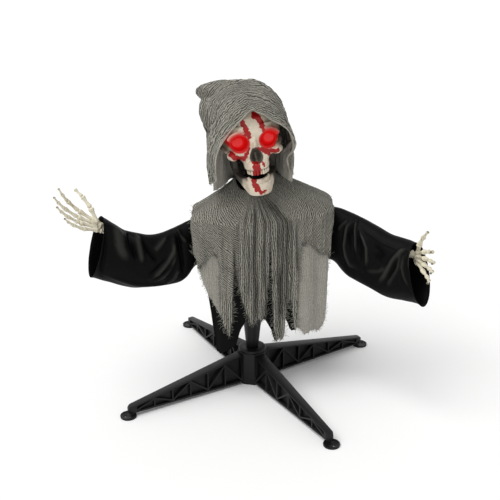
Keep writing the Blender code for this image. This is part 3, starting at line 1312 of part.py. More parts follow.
def sleeve_row(side, along):
    """Rise, drop, half width and lean of the sleeve at a share of its length."""
    table = SLEEVE_SHARES[side]
    at = along * (len(table) - 1)
    index = min(int(at), len(table) - 2)
    rise, drop, half, lean = Vector(table[index]).lerp(Vector(table[index + 1]), ease(at - index))
    over_rod = ROD_RADIUS + PANEL_THICKNESS / 2 + SLEEVE_EASE
    return (over_rod + SLEEVE_CUFF_RISE * rise, SLEEVE_DROP[side] * drop, SLEEVE_HALF_WIDTH[side] * half,
            SLEEVE_CUFF_LEAN[side] * lean)


def build_sleeve(side, hand):
    """A wide satin sleeve that hangs from the arm rod and is open at the cuff."""
    route = even_curve(rod_points(side, hand), SLEEVE_STATIONS + 1)

    def place(around, along):
        index = min(int(along * SLEEVE_STATIONS), SLEEVE_STATIONS - 1)
        centre = route[index].lerp(route[index + 1], along * SLEEVE_STATIONS - index)
        ahead = route[index + 1] - route[index]
        ahead.z = 0.0
        ahead.normalize()
        across = Vector((0, 0, 1)).cross(ahead)
        rise, drop, half, lean = sleeve_row(side, along)
        angle = 2 * math.pi * around
        down = (1 - math.cos(angle)) / 2
        grown = ease((along - SLEEVE_FOLD_START_SHARE) / (SLEEVE_FOLD_FULL_SHARE - SLEEVE_FOLD_START_SHARE))
        fold = 1 + SLEEVE_FOLD_SHARE * grown * math.sin(SLEEVE_FOLDS * angle + SLEEVE_FOLD_TWIST * along)
        return (centre + across * (half * fold * math.sin(angle)) + ahead * (lean * down)
                + Vector((0, 0, rise - (rise + drop) * down)))

    cloth(f"sleeve_{side}", SLEEVE_SIDES, SLEEVE_STATIONS, place, "satin", PANEL_THICKNESS, closed=True)


def wrist_place(side, hand):
    """Where the hand starts on the rod's end, and the rod's direction there."""
    route = even_curve(rod_points(side, hand), ROD_STEPS - 1)
    ahead = (route[-1] - route[-2]).normalized()
    return route[-1] - ahead * (WRIST_LENGTH / 2), ahead


def hand_axes(side):
    """Directions of the fingers, of the thumb's side and of the palm."""
    swing, rise, roll = (math.radians(angle) for angle in HAND_AIM[side])
    aim = Vector((math.cos(rise) * math.sin(swing), -math.cos(rise) * math.cos(swing), math.sin(rise)))
    upwards = (Vector((0, 0, 1)) - aim * aim.z).normalized()
    thumb_side = Matrix.Rotation(roll, 3, aim) @ upwards
    palm = thumb_side.cross(aim) if side == "right" else aim.cross(thumb_side)
    return aim, thumb_side, palm


def digit_joints(side, name, heart):
    """The joints of one digit: its spread turns it in the palm, and each curl bends it towards the palm."""
    aim, thumb_side, palm = hand_axes(side)
    start, bones = DIGIT_SHARES[name]
    spread = math.radians(HAND_SPREAD[side][name])
    heading = aim * math.cos(spread) + thumb_side * math.sin(spread)
    curls = FINGER_CURL[side]
    if name == "thumb":
        lift = math.radians(THUMB_LIFT[side])
        heading = heading * math.cos(lift) + palm * math.sin(lift)
        curls = (THUMB_CURL[side], THUMB_CURL[side])
    hinge = heading.cross(palm)
    joints = [heart + thumb_side * (PALM_HALF_WIDTH * start)]
    for curl, bone in zip((0,) + curls, bones):
        heading = Matrix.Rotation(math.radians(curl), 3, hinge) @ heading
        joints.append(joints[-1] + heading * (FINGER_LENGTH * bone))
    return joints


def bone_chain(joints, girth):
    """Points and radii along a digit: a knobbed bone between each two joints."""
    points = []
    radii = []
    last = len(joints) - 2
    for index, (start, end) in enumerate(zip(joints, joints[1:])):
        slim = girth * (1 - BONE_TAPER_SHARE * index)
        for along, knob in BONE_SHARES:
            points.append(start.lerp(end, along))
            thick = SHAFT_RADIUS + (KNUCKLE_RADIUS - SHAFT_RADIUS) * knob
            tapered = SHAFT_RADIUS if index == last and along == BONE_SHARES[-1][0] else thick
            radii.append(tapered * slim)
        points.append(end)
        radii.append(FINGERTIP_RADIUS if index == last else GROOVE_RADIUS * slim)
    return points, radii


def build_hand(side, hand):
    """A skeleton hand: wrist stub, carpal block, four fingers and a thumb in one moulding."""
    wrist, ahead = wrist_place(side, hand)
    heart = wrist + ahead * CARPAL_REACH
    radius = ROD_RADIUS + CLEARANCE + WRIST_WALL
    solid = rod_between(f"hand_{side}", wrist + ahead * CLEARANCE, heart, radius, "bone", sides=14,
                        end_radius=radius * WRIST_TAPER_SHARE)
    aim, thumb_side, palm = hand_axes(side)
    carpals = ball("carpals", (0, 0, 0), CARPAL_RADII, sides=12, rings=8)
    frame = Matrix((thumb_side, aim, palm)).transposed().to_4x4()
    carpals.data.transform(Matrix.Translation(heart) @ frame)
    solid = join(solid, face_outwards(carpals))
    for name, girth in DIGIT_GIRTH_SHARES.items():
        joints = digit_joints(side, name, heart)
        joints[0] = joints[0].lerp(heart, THUMB_ROOT_SHARE if name == "thumb" else DIGIT_ROOT_SHARE)
        points, radii = bone_chain(joints, girth)
        solid = join(solid, tube(name, points, radii, resolution=1))
    bore = rod_between("bore", wrist - ahead * OVERRUN, wrist + ahead * (WRIST_LENGTH * WRIST_BORE_SHARE),
                       ROD_RADIUS + CLEARANCE, sides=14)
    smooth(cut(solid, bore), 60.0)
    inner = ROD_RADIUS + CLEARANCE
    profile = [(inner, 0.0), (radius, 0.0), (radius, COLLAR_LENGTH), (inner, COLLAR_LENGTH)]
    collar = turned(f"wrist_collar_{side}", profile, "black_plastic", sides=14)
    collar.matrix_world = (Matrix.Translation(wrist - ahead * (COLLAR_LENGTH + CLEARANCE))
                           @ ahead.to_track_quat("Z", "Y").to_matrix().to_4x4())
    smooth(collar)


# Cloth on the body and the hood

def body_cloth_place(turn, back, yoke, hang, offset):
    """A point on the layered body cloth.

    turn is the angle round the figure (0 at the front, +90 degrees at its left), yoke
    runs from the neckline (0) to the edge of the shoulders (1), hang is how far the point
    hangs below that edge, and offset is how far this layer lies outside the robe.
    """
    side = "left" if turn >= 0 else "right"
    across = math.sin(turn)
    straight = abs(math.cos(turn)) if abs(across) < 1 else 0.0
    facing = 1 if back else -1
    seam = SEAM_GAP / 2
    half_width = HOUSING_HALF_WIDTH + SHOULDER_OUT[side] + offset
    half_depth = CHEST_HALF_DEPTH + offset
    shoulder = CHEST_HEIGHT + (SHOULDER_RISE[side] - CHEST_RISE) * across ** 2
    edge = Vector((half_width * across, facing * max(half_depth * straight ** CORNER_SHARE, seam),
                   shoulder + offset / 2))
    neck_radius = NECKLINE_RADIUS + offset / 3
    dip = 0.0 if back else NECKLINE_DIP * straight
    neck = Vector((neck_radius * across, facing * max(neck_radius * straight, seam),
                   NECK_SEAT + NECKLINE_TILT * across + offset - dip))
    point = neck.lerp(edge, math.sin(yoke * math.pi / 2))
    point.z = edge.z + (neck.z - edge.z) * (1 - yoke) ** YOKE_CURVE_SHARE - hang
    fold = FOLD_DEPTH * math.sin(FOLD_COUNT * turn) * ease(hang / FOLD_START) * straight ** 0.5
    flare = HEM_FLARE * hang / ROBE_DROP * straight
    return point + Vector((across, facing * straight, 0.0)) * (fold + flare)


def build_panel(name, back, hem_shares, drop, offset, finish):
    """Half of the body cloth, front or back, with a ragged hem."""

    def place(across, fall):
        row = fall * PANEL_ROWS
        hang = max(0.0, row - YOKE_ROWS) / (PANEL_ROWS - YOKE_ROWS) * drop * read_along(hem_shares, across)
        return body_cloth_place(math.pi * (across - 0.5), back, min(1.0, row / YOKE_ROWS), hang, offset)

    cloth(name, BACK_COLUMNS if back else PANEL_COLUMNS, PANEL_ROWS, place, finish, PANEL_THICKNESS)


def build_lining(side):
    """A light gauze panel that hangs between the robe and the cape."""
    first, last = LINING_COLUMNS[side]
    offset = PANEL_THICKNESS + LAYER_GAP

    def place(across, fall):
        turn = math.pi * (first + (last - first) * across) / PANEL_COLUMNS
        hang = LINING_START + fall * LINING_DROP * read_along(LINING_HEM_SHARES[side], across)
        return body_cloth_place(turn, False, 1.0, hang, offset)

    cloth(f"lining_{side}", last - first, LINING_ROWS, place, "gauze_light", PANEL_THICKNESS)


def hood_place(across, back):
    """A point of the hood: across its arch from the right hem, and back from the face rim to the seam."""
    station = even_curve(HOOD_SHARES, HOOD_ROWS + 1)[round(back * HOOD_ROWS)]
    crown_at, hem_at, right, left, crown, shift = (max(0.0, share) for share in station)
    angle = math.pi * across
    lift = math.sin(angle)
    low = (1 - lift) ** HOOD_LOW_SHARE
    side, wide = ("right", right) if across < 0.5 else ("left", left)
    rounded = abs(math.cos(angle)) ** HOOD_ROUND_SHARE * (1 - HOOD_TUCK_SHARE * low)
    reach = math.copysign(HOOD_HALF_WIDTH * wide * rounded, across - 0.5)
    (corner_at, corner_wide), (corner_back, corner_long) = HOOD_CORNER_SHARES
    corner = ease(1 - ((across - corner_at) / corner_wide) ** 2 - ((back - corner_back) / corner_long) ** 2)
    hem_height = HEAD_PIVOT.z - HOOD_HEM_DROP + HOOD_HEM_TILT * reach / HOOD_HALF_WIDTH
    height = HEAD_PIVOT.z + HOOD_CROWN - (1 - crown) * (HOOD_CROWN + HOOD_HEM_DROP) - hem_height
    arch = lift ** (HOOD_ARCH_SHARE + HOOD_SLUMP_SHARES[side] * wide)
    along = crown_at + (hem_at - crown_at) * low
    return Vector((reach - HOOD_HALF_WIDTH * shift * lift - HOOD_CORNER * corner,
                   (HOOD_FRONT + HOOD_BACK) * along - HOOD_FRONT, hem_height + height * arch))


def build_hood():
    cloth("hood", HOOD_COLUMNS, HOOD_ROWS, hood_place, "gauze", HOOD_THICKNESS, closed=True)


def build_cloth():
    build_panel("robe_front", False, ROBE_FRONT_HEM_SHARES, ROBE_DROP, 0.0, "satin")
    build_panel("robe_back", True, ROBE_BACK_HEM_SHARES, ROBE_DROP, 0.0, "satin")
    outer = 2 * (PANEL_THICKNESS + LAYER_GAP)
    build_panel("cape_front", False, CAPE_FRONT_HEM_SHARES, CAPE_DROP, outer, "gauze")
    build_panel("cape_back", True, CAPE_BACK_HEM_SHARES, CAPE_DROP, outer, "gauze")
    build_hood()


# Joint axes

def hang_from(child, carrier):
    """Parent one object to another without moving it."""
    child.parent = carrier
    child.matrix_parent_inverse = carrier.matrix_world.inverted()


def add_axis(name, place, pieces, carrier=None):
    """An empty on a joint's axis carries the pieces that move with it."""
    axis = bpy.data.objects.new(name, None)
    axis.empty_display_size = HUB_ACROSS
    axis.matrix_world = place
    PARTS.objects.link(axis)
    bpy.context.view_layer.update()
    for piece in pieces:
        hang_from(bpy.data.objects[piece], axis)
    if carrier:
        hang_from(axis, carrier)
    return axis


def upright(across, height):
    return Matrix.Translation((across, 0, height))


def add_axes():
    """The torso turns on the pole, and carries the head, the arms and what slides or spins in it."""
    cells = [f"battery_cell_{index + 1}" for index in range(CELL_COUNT)]
    screws = [f"shell_screw_{index + 1}" for index in range(len(screw_places()))]
    torso = add_axis("torso_axis", upright(0, PEDESTAL_TOP),
                     ["torso_front_shell", "torso_rear_shell", "turn_bush", "gear_motor", "speaker",
                      "circuit_board", "switch_body", "neck_post", "shoulder_hanger", "shoulder_bush_right",
                      "shoulder_bush_left", "robe_front", "robe_back", "cape_front", "cape_back",
                      "lining_right", "lining_left"] + cells + screws)
    add_axis("pinion_axis", upright(PINION_DISTANCE, GEAR_BOTTOM), ["drive_pinion"], torso)
    add_axis("door_axis", upright(0, tray_box()[1]), ["battery_door"], torso)
    across, up = switch_place()
    add_axis("knob_axis", upright(across, up), ["switch_knob"], torso)
    head = add_axis("head_axis", upright(0, NECK_SEAT),
                    ["skull_face", "skull_back", "eye_lamp_right", "eye_lamp_left", "head_bush",
                     "jaw_pin_right", "jaw_pin_left", "hood"], torso)
    add_axis("jaw_axis", head_place() @ Matrix.Translation(JAW_PIVOT), ["jaw"], head)
    for side, hand in HANDS:
        arm = add_axis(f"arm_axis_{side}", upright(hand * HOUSING_HALF_WIDTH, SHOULDER_HEIGHT),
                       [f"arm_rod_{side}", f"sleeve_{side}", f"wrist_collar_{side}"], torso)
        wrist, ahead = wrist_place(side, hand)
        turn = Matrix.Translation(wrist) @ ahead.to_track_quat("Z", "Y").to_matrix().to_4x4()
        add_axis(f"wrist_axis_{side}", turn, [f"hand_{side}"], arm)


def main():
    start_scene()
    build_hub()
    build_legs()
    build_pole()
    build_drive()
    build_front_shell()
    build_rear_shell()
    build_bushes()
    build_sound()
    build_batteries()
    build_switch()
    build_neck()
    build_hanger()
    build_skull()
    build_eye_lamps()
    build_jaw()
    for side, hand in HANDS:
        build_rod(side, hand)
        build_sleeve(side, hand)
        build_hand(side, hand)
        build_lining(side)
    build_cloth()
    add_axes()


main()
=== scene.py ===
import json
import math

import bmesh
import bpy
import numpy as np
from mathutils import Euler, Matrix, Vector, noise


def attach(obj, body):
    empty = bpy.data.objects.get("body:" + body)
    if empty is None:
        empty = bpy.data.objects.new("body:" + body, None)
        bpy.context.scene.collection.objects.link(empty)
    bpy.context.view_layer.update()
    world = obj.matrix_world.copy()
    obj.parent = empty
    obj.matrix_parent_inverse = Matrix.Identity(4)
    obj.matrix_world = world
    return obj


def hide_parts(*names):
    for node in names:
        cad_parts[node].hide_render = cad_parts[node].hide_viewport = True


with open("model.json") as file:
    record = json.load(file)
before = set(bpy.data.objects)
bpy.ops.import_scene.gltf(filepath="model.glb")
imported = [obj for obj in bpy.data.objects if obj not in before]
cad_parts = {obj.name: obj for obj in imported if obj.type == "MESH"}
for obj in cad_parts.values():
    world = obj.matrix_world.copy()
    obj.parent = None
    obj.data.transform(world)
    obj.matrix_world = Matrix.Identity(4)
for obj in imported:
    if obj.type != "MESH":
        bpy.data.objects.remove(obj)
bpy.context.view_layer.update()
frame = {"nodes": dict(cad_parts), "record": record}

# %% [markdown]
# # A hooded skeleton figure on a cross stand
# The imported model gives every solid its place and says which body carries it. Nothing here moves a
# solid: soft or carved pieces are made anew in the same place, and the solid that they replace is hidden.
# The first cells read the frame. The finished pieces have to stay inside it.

nodes = frame["nodes"]
slot_of = {part["node"]: part["material_slot"] for part in frame["record"]["subparts"]}
SIDES = (("right", -1), ("left", 1))

# %% [markdown]
# ## Camera, floor and light
# The picture was taken a little from above with a lens of medium length, so the camera looks down by
# 22.5 degrees. The floor is one large white plane. A broad, soft sun from high on the left throws the
# shadow to the right, and an even pale world fills the rest. Rays that meet the world straight from the
# camera, off something glossy or through something clear see near white, and the world's own light stays
# moderate.

# %% Camera
CAMERA_TARGET = Vector((-0.005, 0.0, 0.309))
CAMERA_DISTANCE = 1.89
CAMERA_RISE = math.radians(22.5)
LENS_LENGTH = 64.8
SENSOR_WIDTH = 36.0
lens = bpy.data.cameras.new("camera")
lens.lens = LENS_LENGTH
lens.sensor_width = SENSOR_WIDTH
camera = bpy.data.objects.new("camera", lens)
towards_camera = Vector((0, -math.cos(CAMERA_RISE), math.sin(CAMERA_RISE)))
camera.location = CAMERA_TARGET + CAMERA_DISTANCE * towards_camera
camera.rotation_euler = (math.pi / 2 - CAMERA_RISE, 0, 0)
bpy.context.scene.collection.objects.link(camera)
bpy.context.scene.camera = camera
bpy.context.scene.view_settings.view_transform = "Standard"
print("camera at", tuple(round(x, 3) for x in camera.location))


# %% Nodes in a few words
def fill_socket(tree, socket, value):
    """Set an input, or link it where the value is another node's output."""
    if isinstance(value, bpy.types.NodeSocket):
        tree.links.new(value, socket)
    else:
        socket.default_value = value


def add_node(tree, kind, inputs=None, **settings):
    """A node with its settings; inputs are set or linked by their name or number."""
    node = tree.nodes.new(kind)
    for key, value in settings.items():
        setattr(node, key, value)
    for key, value in (inputs or {}).items():
        fill_socket(tree, node.inputs[key], value)
    return node


def calc(tree, operation, *values, clamp=False):
    """The result of one Math node."""
    node = add_node(tree, "ShaderNodeMath", operation=operation, use_clamp=clamp,
                    inputs=dict(enumerate(values)))
    return node.outputs[0]


def times(tree, *values):
    return calc(tree, "MULTIPLY", *values)


def plus(tree, *values, clamp=False):
    return calc(tree, "ADD", *values, clamp=clamp)


def minus(tree, *values, clamp=False):
    return calc(tree, "SUBTRACT", *values, clamp=clamp)


def ramp(tree, value, low, high):
    """0 below one value, 1 above the other, smooth between them."""
    node = add_node(tree, "ShaderNodeMapRange", interpolation_type="SMOOTHSTEP",
                    inputs={"Value": value, "From Min": low, "From Max": high})
    return node.outputs["Result"]


def blend_colours(tree, share, first, second):
    node = add_node(tree, "ShaderNodeMix", data_type="RGBA", inputs={0: share, 6: first, 7: second})
    return node.outputs[2]


def blend_numbers(tree, share, first, second):
    return add_node(tree, "ShaderNodeMix", inputs={0: share, 2: first, 3: second}).outputs[0]


def attribute(tree, name):
    return add_node(tree, "ShaderNodeAttribute", attribute_name=name).outputs["Fac"]


def own_place(tree, kind):
    """UV is the sheet's own map in metres, Object the piece's own axes."""
    return add_node(tree, "ShaderNodeTexCoord").outputs[kind]


def speckle(tree, place, scale, detail=3.0, roughness=0.55):
    node = add_node(tree, "ShaderNodeTexNoise", inputs={"Vector": place, "Scale": scale, "Detail": detail,
                                                        "Roughness": roughness})
    return node.outputs["Fac"]


def new_group(kind, name, inputs, outputs):
    """A node group with named sockets, and its two ends."""
    tree = bpy.data.node_groups.new(name, kind)
    for label, socket_kind, value in inputs:
        socket = tree.interface.new_socket(label, in_out="INPUT", socket_type="NodeSocket" + socket_kind)
        if value is not None:
            socket.default_value = value
    for label, socket_kind in outputs:
        tree.interface.new_socket(label, in_out="OUTPUT", socket_type="NodeSocket" + socket_kind)
    return tree, tree.nodes.new("NodeGroupInput").outputs, tree.nodes.new("NodeGroupOutput").inputs


def new_effect(name, inputs, outputs):
    return new_group("ShaderNodeTree", name, inputs, outputs)


def use_effect(tree, effect, **inputs):
    node = tree.nodes.new("ShaderNodeGroup")
    node.node_tree = effect
    for key, value in inputs.items():
        fill_socket(tree, node.inputs[key.replace("_", " ")], value)
    return node.outputs


def new_finish(name, **fixed):
    """A material with its Principled shader; what is the same all over sits on the shader's sockets."""
    material = bpy.data.materials.new(name)
    material.use_nodes = True
    tree = material.node_tree
    shader = tree.nodes["Principled BSDF"]
    for key, value in fixed.items():
        shader.inputs[key.replace("_", " ")].default_value = value
    return material, tree, shader


def bump(tree, shader, height, distance, strength=1.0):
    node = add_node(tree, "ShaderNodeBump",
                    inputs={"Height": height, "Distance": distance, "Strength": strength})
    tree.links.new(node.outputs["Normal"], shader.inputs["Normal"])


def colour(red, green, blue):
    """The colour as seen on a screen, 0 to 255, made linear."""
    shares = [part / 255 for part in (red, green, blue)]
    return (*(((c + 0.055) / 1.055) ** 2.4 if c > 10 / 255 else c / 12.92 for c in shares), 1.0)


def scaled(shade, factor):
    """A lighter or darker version of a colour, no brighter than white."""
    return (*(min(1.0, factor * part) for part in shade[:3]), 1.0)


print("node helpers ready")

# %% Floor
floor_mesh = bpy.data.meshes.new("floor")
FLOOR_REACH = 15.0
FLOOR_CORNERS = ((-1, -1), (1, -1), (1, 1), (-1, 1))
floor_mesh.from_pydata([(FLOOR_REACH * x, FLOOR_REACH * y, 0.0) for x, y in FLOOR_CORNERS],
                       [], [(0, 1, 2, 3)])
floor = bpy.data.objects.new("floor", floor_mesh)
bpy.context.scene.collection.objects.link(floor)
FLOOR_WHITE = (0.955, 0.955, 0.95, 1.0)
floor_finish = new_finish("floor_white", Base_Color=FLOOR_WHITE, Roughness=1.0, Specular_IOR_Level=0.0)[0]
floor_mesh.materials.append(floor_finish)

# %% World and sun
WORLD_FILL = 0.56
WORLD_SEEN = (0.96, 0.96, 0.955, 1.0)
SUN_STRENGTH = 1.95
SUN_WIDTH = math.radians(46)
SUNBEAM = Vector((0.42, 0.26, -0.86))
world = bpy.data.worlds.new("studio")
bpy.context.scene.world = world
world.use_nodes = True
tree = world.node_tree
tree.nodes.clear()
ray = tree.nodes.new("ShaderNodeLightPath")
seen = calc(tree, "MAXIMUM", ray.outputs["Is Camera Ray"], ray.outputs["Is Glossy Ray"])
seen = calc(tree, "MAXIMUM", seen, ray.outputs["Is Transmission Ray"])
fill = add_node(tree, "ShaderNodeBackground", inputs={"Color": (1.0, 1.0, 1.0, 1.0), "Strength": WORLD_FILL})
white = add_node(tree, "ShaderNodeBackground", inputs={"Color": WORLD_SEEN, "Strength": 1.0})
mix = add_node(tree, "ShaderNodeMixShader", inputs={0: seen, 1: fill.outputs[0], 2: white.outputs[0]})
tree.links.new(mix.outputs[0], add_node(tree, "ShaderNodeOutputWorld").inputs["Surface"])
lamp = bpy.data.lights.new("sun", "SUN")
lamp.energy = SUN_STRENGTH
lamp.angle = SUN_WIDTH
sun = bpy.data.objects.new("sun", lamp)
sun.rotation_euler = SUNBEAM.to_track_quat("-Z", "Y").to_euler()
bpy.context.scene.collection.objects.link(sun)
print("floor, world and sun made")

# %% [markdown]
# ## Finishes
# Gauze is an open weave of slack cotton: crinkled ribs a few millimetres apart, fine threads between them
# and small openings that show what lies below. Its grey follows the height of the ribs and crinkles:
# painted shade in their valleys and a painted highlight on their crests, over the threads' own tone. It is
# drawn from the sheet's own UV map, which is in metres, so the weave keeps its size wherever the cloth is
# bent. An effect that several finishes share is a node group: the weave, the brown wash and painted shade
# on bone, and the fine grain of moulded plastic.

# %% The weave effect
weave, given, found = new_effect(
    "open weave",
    [("Place", "Vector", None), ("Rib Pitch", "Float", 0.0042),
     ("Thread Pitch", "Float", 0.0017), ("Openness", "Float", 0.5),
     ("Rib Depth", "Float", 1.0), ("Lean Left", "Float", 0.0),
     ("Lean Right", "Float", 0.0)],
    [("Tone_And_Shade", "Float"), ("Cover", "Float"), ("Height", "Float")])
WAVE_PERIOD = 2 * math.pi / 20
LEFT_LEAN = 68.0
RIGHT_LEAN = -40.0


def bands(tree, place, pitch, distortion, detail_scale):
    """Wavy bands across the place's first axis."""
    scale = calc(tree, "DIVIDE", WAVE_PERIOD, pitch)
    node = add_node(tree, "ShaderNodeTexWave", wave_type="BANDS", bands_direction="X",
                    inputs={"Vector": place, "Scale": scale, "Distortion": distortion, "Detail": 3.0,
                            "Detail Scale": detail_scale, "Detail Roughness": 0.6})
    return node.outputs["Fac"]


def spun(tree, place, degrees):
    node = add_node(tree, "ShaderNodeVectorRotate", rotation_type="Z_AXIS",
                    inputs={"Vector": place, "Angle": math.radians(degrees)})
    return node.outputs["Vector"]


place = given["Place"]
slack = speckle(weave, place, 55.0, 3.0)
straight_ribs, left_ribs, right_ribs = [
    bands(weave, spot, given["Rib Pitch"], 8.0, 0.7)
    for spot in (place, spun(weave, place, LEFT_LEAN), spun(weave, place, RIGHT_LEAN))]
rib = blend_numbers(weave, given["Lean Left"], straight_ribs, left_ribs)
rib = blend_numbers(weave, given["Lean Right"], rib, right_ribs)
warp, weft = [bands(weave, spot, given["Thread Pitch"], 2.5, 0.4)
              for spot in (place, spun(weave, place, 90.0))]
threads = calc(weave, "MAXIMUM", warp, weft)
crinkle = speckle(weave, place, 260.0, 5.0, 0.65)
loose = ramp(weave, slack, 0.42, 0.66)
hole = minus(weave, 1.0, ramp(weave, threads, 0.30, 0.72))
opened = times(weave, hole, plus(weave, 0.45, times(weave, loose, 0.55)))
cover = minus(weave, 1.0, times(weave, opened, given["Openness"]), clamp=True)
ribbed = times(weave, minus(weave, rib, 0.5), given["Rib Depth"])
height = plus(weave, times(weave, ribbed, 0.62), times(weave, crinkle, 0.95))
# Colour follows the height: painted highlight on rib and crinkle crests, painted shade in their valleys
tone_and_shade = plus(weave, height, times(weave, threads, 0.12))
weave.links.new(tone_and_shade, found["Tone_And_Shade"])
weave.links.new(cover, found["Cover"])
weave.links.new(plus(weave, height, times(weave, threads, 0.15)), found["Height"])
print("weave effect:", len(weave.nodes), "nodes")


# %% Gauze in two greys
def gauze_finish(name, dark, light, openness, rib_depth):
    """Open-weave cloth; masks paint a rim highlight (edge), crease shade (deep) and red lamp light (glow)."""
    material, tree, shader = new_finish(name, Roughness=0.95, Specular_IOR_Level=0.05, Sheen_Weight=0.06,
                                        Sheen_Roughness=0.6)
    place = own_place(tree, "UV")
    single = minus(tree, 1.0, attribute(tree, "doubled"), clamp=True)
    parts = use_effect(tree, weave, Place=place, Openness=times(tree, single, openness),
                       Rib_Depth=rib_depth, Lean_Left=attribute(tree, "lean_left"),
                       Lean_Right=attribute(tree, "lean_right"))
    # The grey follows the weave's height, which paints shade and highlight on the crinkles
    tone_and_shade = ramp(tree, parts["Tone_And_Shade"], 0.16, 0.98)
    cloth = blend_colours(tree, tone_and_shade, dark, light)
    stains = ramp(tree, speckle(tree, place, 16.0, 2.0), 0.35, 0.70)
    cloth = blend_colours(tree, times(tree, stains, 0.22), cloth, dark)
    # Painted highlight on rims, painted shade in creases and painted red lamp light
    for mask, shade in (("edge", scaled(light, 1.35)), ("deep", colour(40, 39, 35)), ("glow", RED)):
        cloth = blend_colours(tree, attribute(tree, mask), cloth, shade)
    tree.links.new(cloth, shader.inputs["Base Color"])
    tree.links.new(parts["Cover"], shader.inputs["Alpha"])
    bump(tree, shader, parts["Height"], 0.0022)
    return material


# The red of the lamps' light, painted on the gauze near the eyes
RED = colour(176, 16, 18)
gauze = gauze_finish("gauze_grey", colour(58, 57, 52), colour(184, 181, 169), 0.45, 0.95)
gauze_light = gauze_finish("gauze_light", colour(133, 130, 122), colour(186, 182, 172), 0.50, 0.30)
print("gauze finishes made")

# %% [markdown]
# Satin is black, smooth and only slightly glossy: its look comes from the folds, which catch a soft
# light along their crests. A low specular level keeps the white room from greying it. Two masks that the
# sleeves store paint a highlight on the folds' crests and shade in their troughs. The fine twill is a bump,
# and the roughness varies slowly.

# %% Satin
satin, tree, shader = new_finish("satin_black", Specular_IOR_Level=0.05)
place = own_place(tree, "UV")
twill = add_node(tree, "ShaderNodeTexWave", wave_type="BANDS", bands_direction="DIAGONAL",
                 inputs={"Vector": place, "Scale": WAVE_PERIOD / 0.0009, "Distortion": 1.0})
cloudy = speckle(tree, place, 22.0, 3.0)
shade = plus(tree, times(tree, cloudy, 0.6), times(tree, twill.outputs["Fac"], 0.4))
black = blend_colours(tree, shade, colour(5, 5, 5), colour(14, 14, 14))
# Painted highlight on the fold crests, and painted shade in the troughs
black = blend_colours(tree, attribute(tree, "crest_highlight"), black, colour(54, 54, 51))
black = blend_colours(tree, attribute(tree, "trough_shade"), black, colour(2, 2, 3))
tree.links.new(black, shader.inputs["Base Color"])
tree.links.new(plus(tree, 0.36, times(tree, cloudy, 0.18)), shader.inputs["Roughness"])
bump(tree, shader, twill.outputs["Fac"], 0.00008, 0.5)
print("satin made")

# %% [markdown]
# The bone is hard plastic with a thin brown wash that stays in the hollows, red paint brushed and dripped
# on the face, and painted shade, near black, where the skull is open. The lamps' red light is painted on
# round the sockets, where the bone also emits a little red. Which place gets painted shade, red paint or
# painted lamp light is worked out on the mesh and stored in three attributes, so it stays with the surface
# in every view.

# %% Aged bone
wash_and_shade, given, found = new_effect(
    "brown wash", [("Place", "Vector", None), ("Clean", "Color", None),
                   ("Washed", "Color", None), ("Hollow", "Float", 0.0),
                   ("Amount", "Float", 0.5)],
    [("Colour", "Color"), ("Height", "Float")])
blotch = speckle(wash_and_shade, given["Place"], 42.0, 4.0)
grime = speckle(wash_and_shade, given["Place"], 190.0, 4.0, 0.7)
cracks = add_node(wash_and_shade, "ShaderNodeTexVoronoi", feature="DISTANCE_TO_EDGE",
                  inputs={"Vector": given["Place"], "Scale": 55.0, "Randomness": 1.0})
crack = minus(wash_and_shade, 1.0, ramp(wash_and_shade, cracks.outputs["Distance"], 0.0, 0.05))
crack = times(wash_and_shade, crack, ramp(wash_and_shade, blotch, 0.50, 0.62))
mottle = plus(wash_and_shade, times(wash_and_shade, blotch, 0.6), times(wash_and_shade, grime, 0.4))
stain = times(wash_and_shade, ramp(wash_and_shade, mottle, 0.44, 0.66), given["Amount"])
stain = plus(wash_and_shade, stain, times(wash_and_shade, crack, 0.35), clamp=True)
bone_colour = blend_colours(wash_and_shade, stain, given["Clean"], given["Washed"])
# The mask input turns the bone near black: painted shade where the skull is open, and the hands' dark joints
wash_and_shade.links.new(blend_colours(wash_and_shade, given["Hollow"], bone_colour, colour(14, 12, 10)), found["Colour"])
wash_and_shade.links.new(minus(wash_and_shade, times(wash_and_shade, grime, 0.5), crack), found["Height"])


def bone_finish(name, clean, washed, amount):
    material, tree, shader = new_finish(name, Specular_IOR_Level=0.35)
    place = own_place(tree, "Object")
    parts = use_effect(tree, wash_and_shade, Place=place, Clean=clean, Washed=washed, Hollow=attribute(tree, "hollow"),
                       Amount=amount)
    ragged = times(tree, minus(tree, speckle(tree, place, 230.0, 4.0, 0.7), 0.5), 1.5)
    painted = ramp(tree, plus(tree, attribute(tree, "paint"), ragged), 0.38, 0.52)
    # Painted red lamp light: the bone is red where the lamps light it, and emits a little red nearest them
    lit = attribute(tree, "glow")
    base = blend_colours(tree, lit, parts["Colour"], colour(150, 6, 8))
    base = blend_colours(tree, painted, base, colour(158, 10, 12))
    tree.links.new(base, shader.inputs["Base Color"])
    gloss = minus(tree, 0.52, times(tree, painted, 0.22))
    tree.links.new(gloss, shader.inputs["Roughness"])
    shine = calc(tree, "POWER", lit, 3.0)
    emitted = blend_colours(tree, shine, (0.0, 0.0, 0.0, 1.0), colour(158, 8, 8))
    tree.links.new(emitted, shader.inputs["Emission Color"])
    shader.inputs["Emission Strength"].default_value = 0.75
    bump(tree, shader, parts["Height"], 0.0006, 0.7)
    return material


bone = bone_finish("bone_skull", colour(220, 208, 188), colour(160, 136, 108), 0.45)
hand_bone = bone_finish("bone_hand", colour(222, 216, 194), colour(158, 140, 108), 0.40)
teeth_bone = bone_finish("bone_teeth", colour(218, 204, 182), colour(150, 120, 88), 0.55)
print("bone finishes made")

# %% [markdown]
# The eye lamps are clear red lenses lit from behind. They glow a little by themselves, more in the
# middle, where the lens faces the viewer.

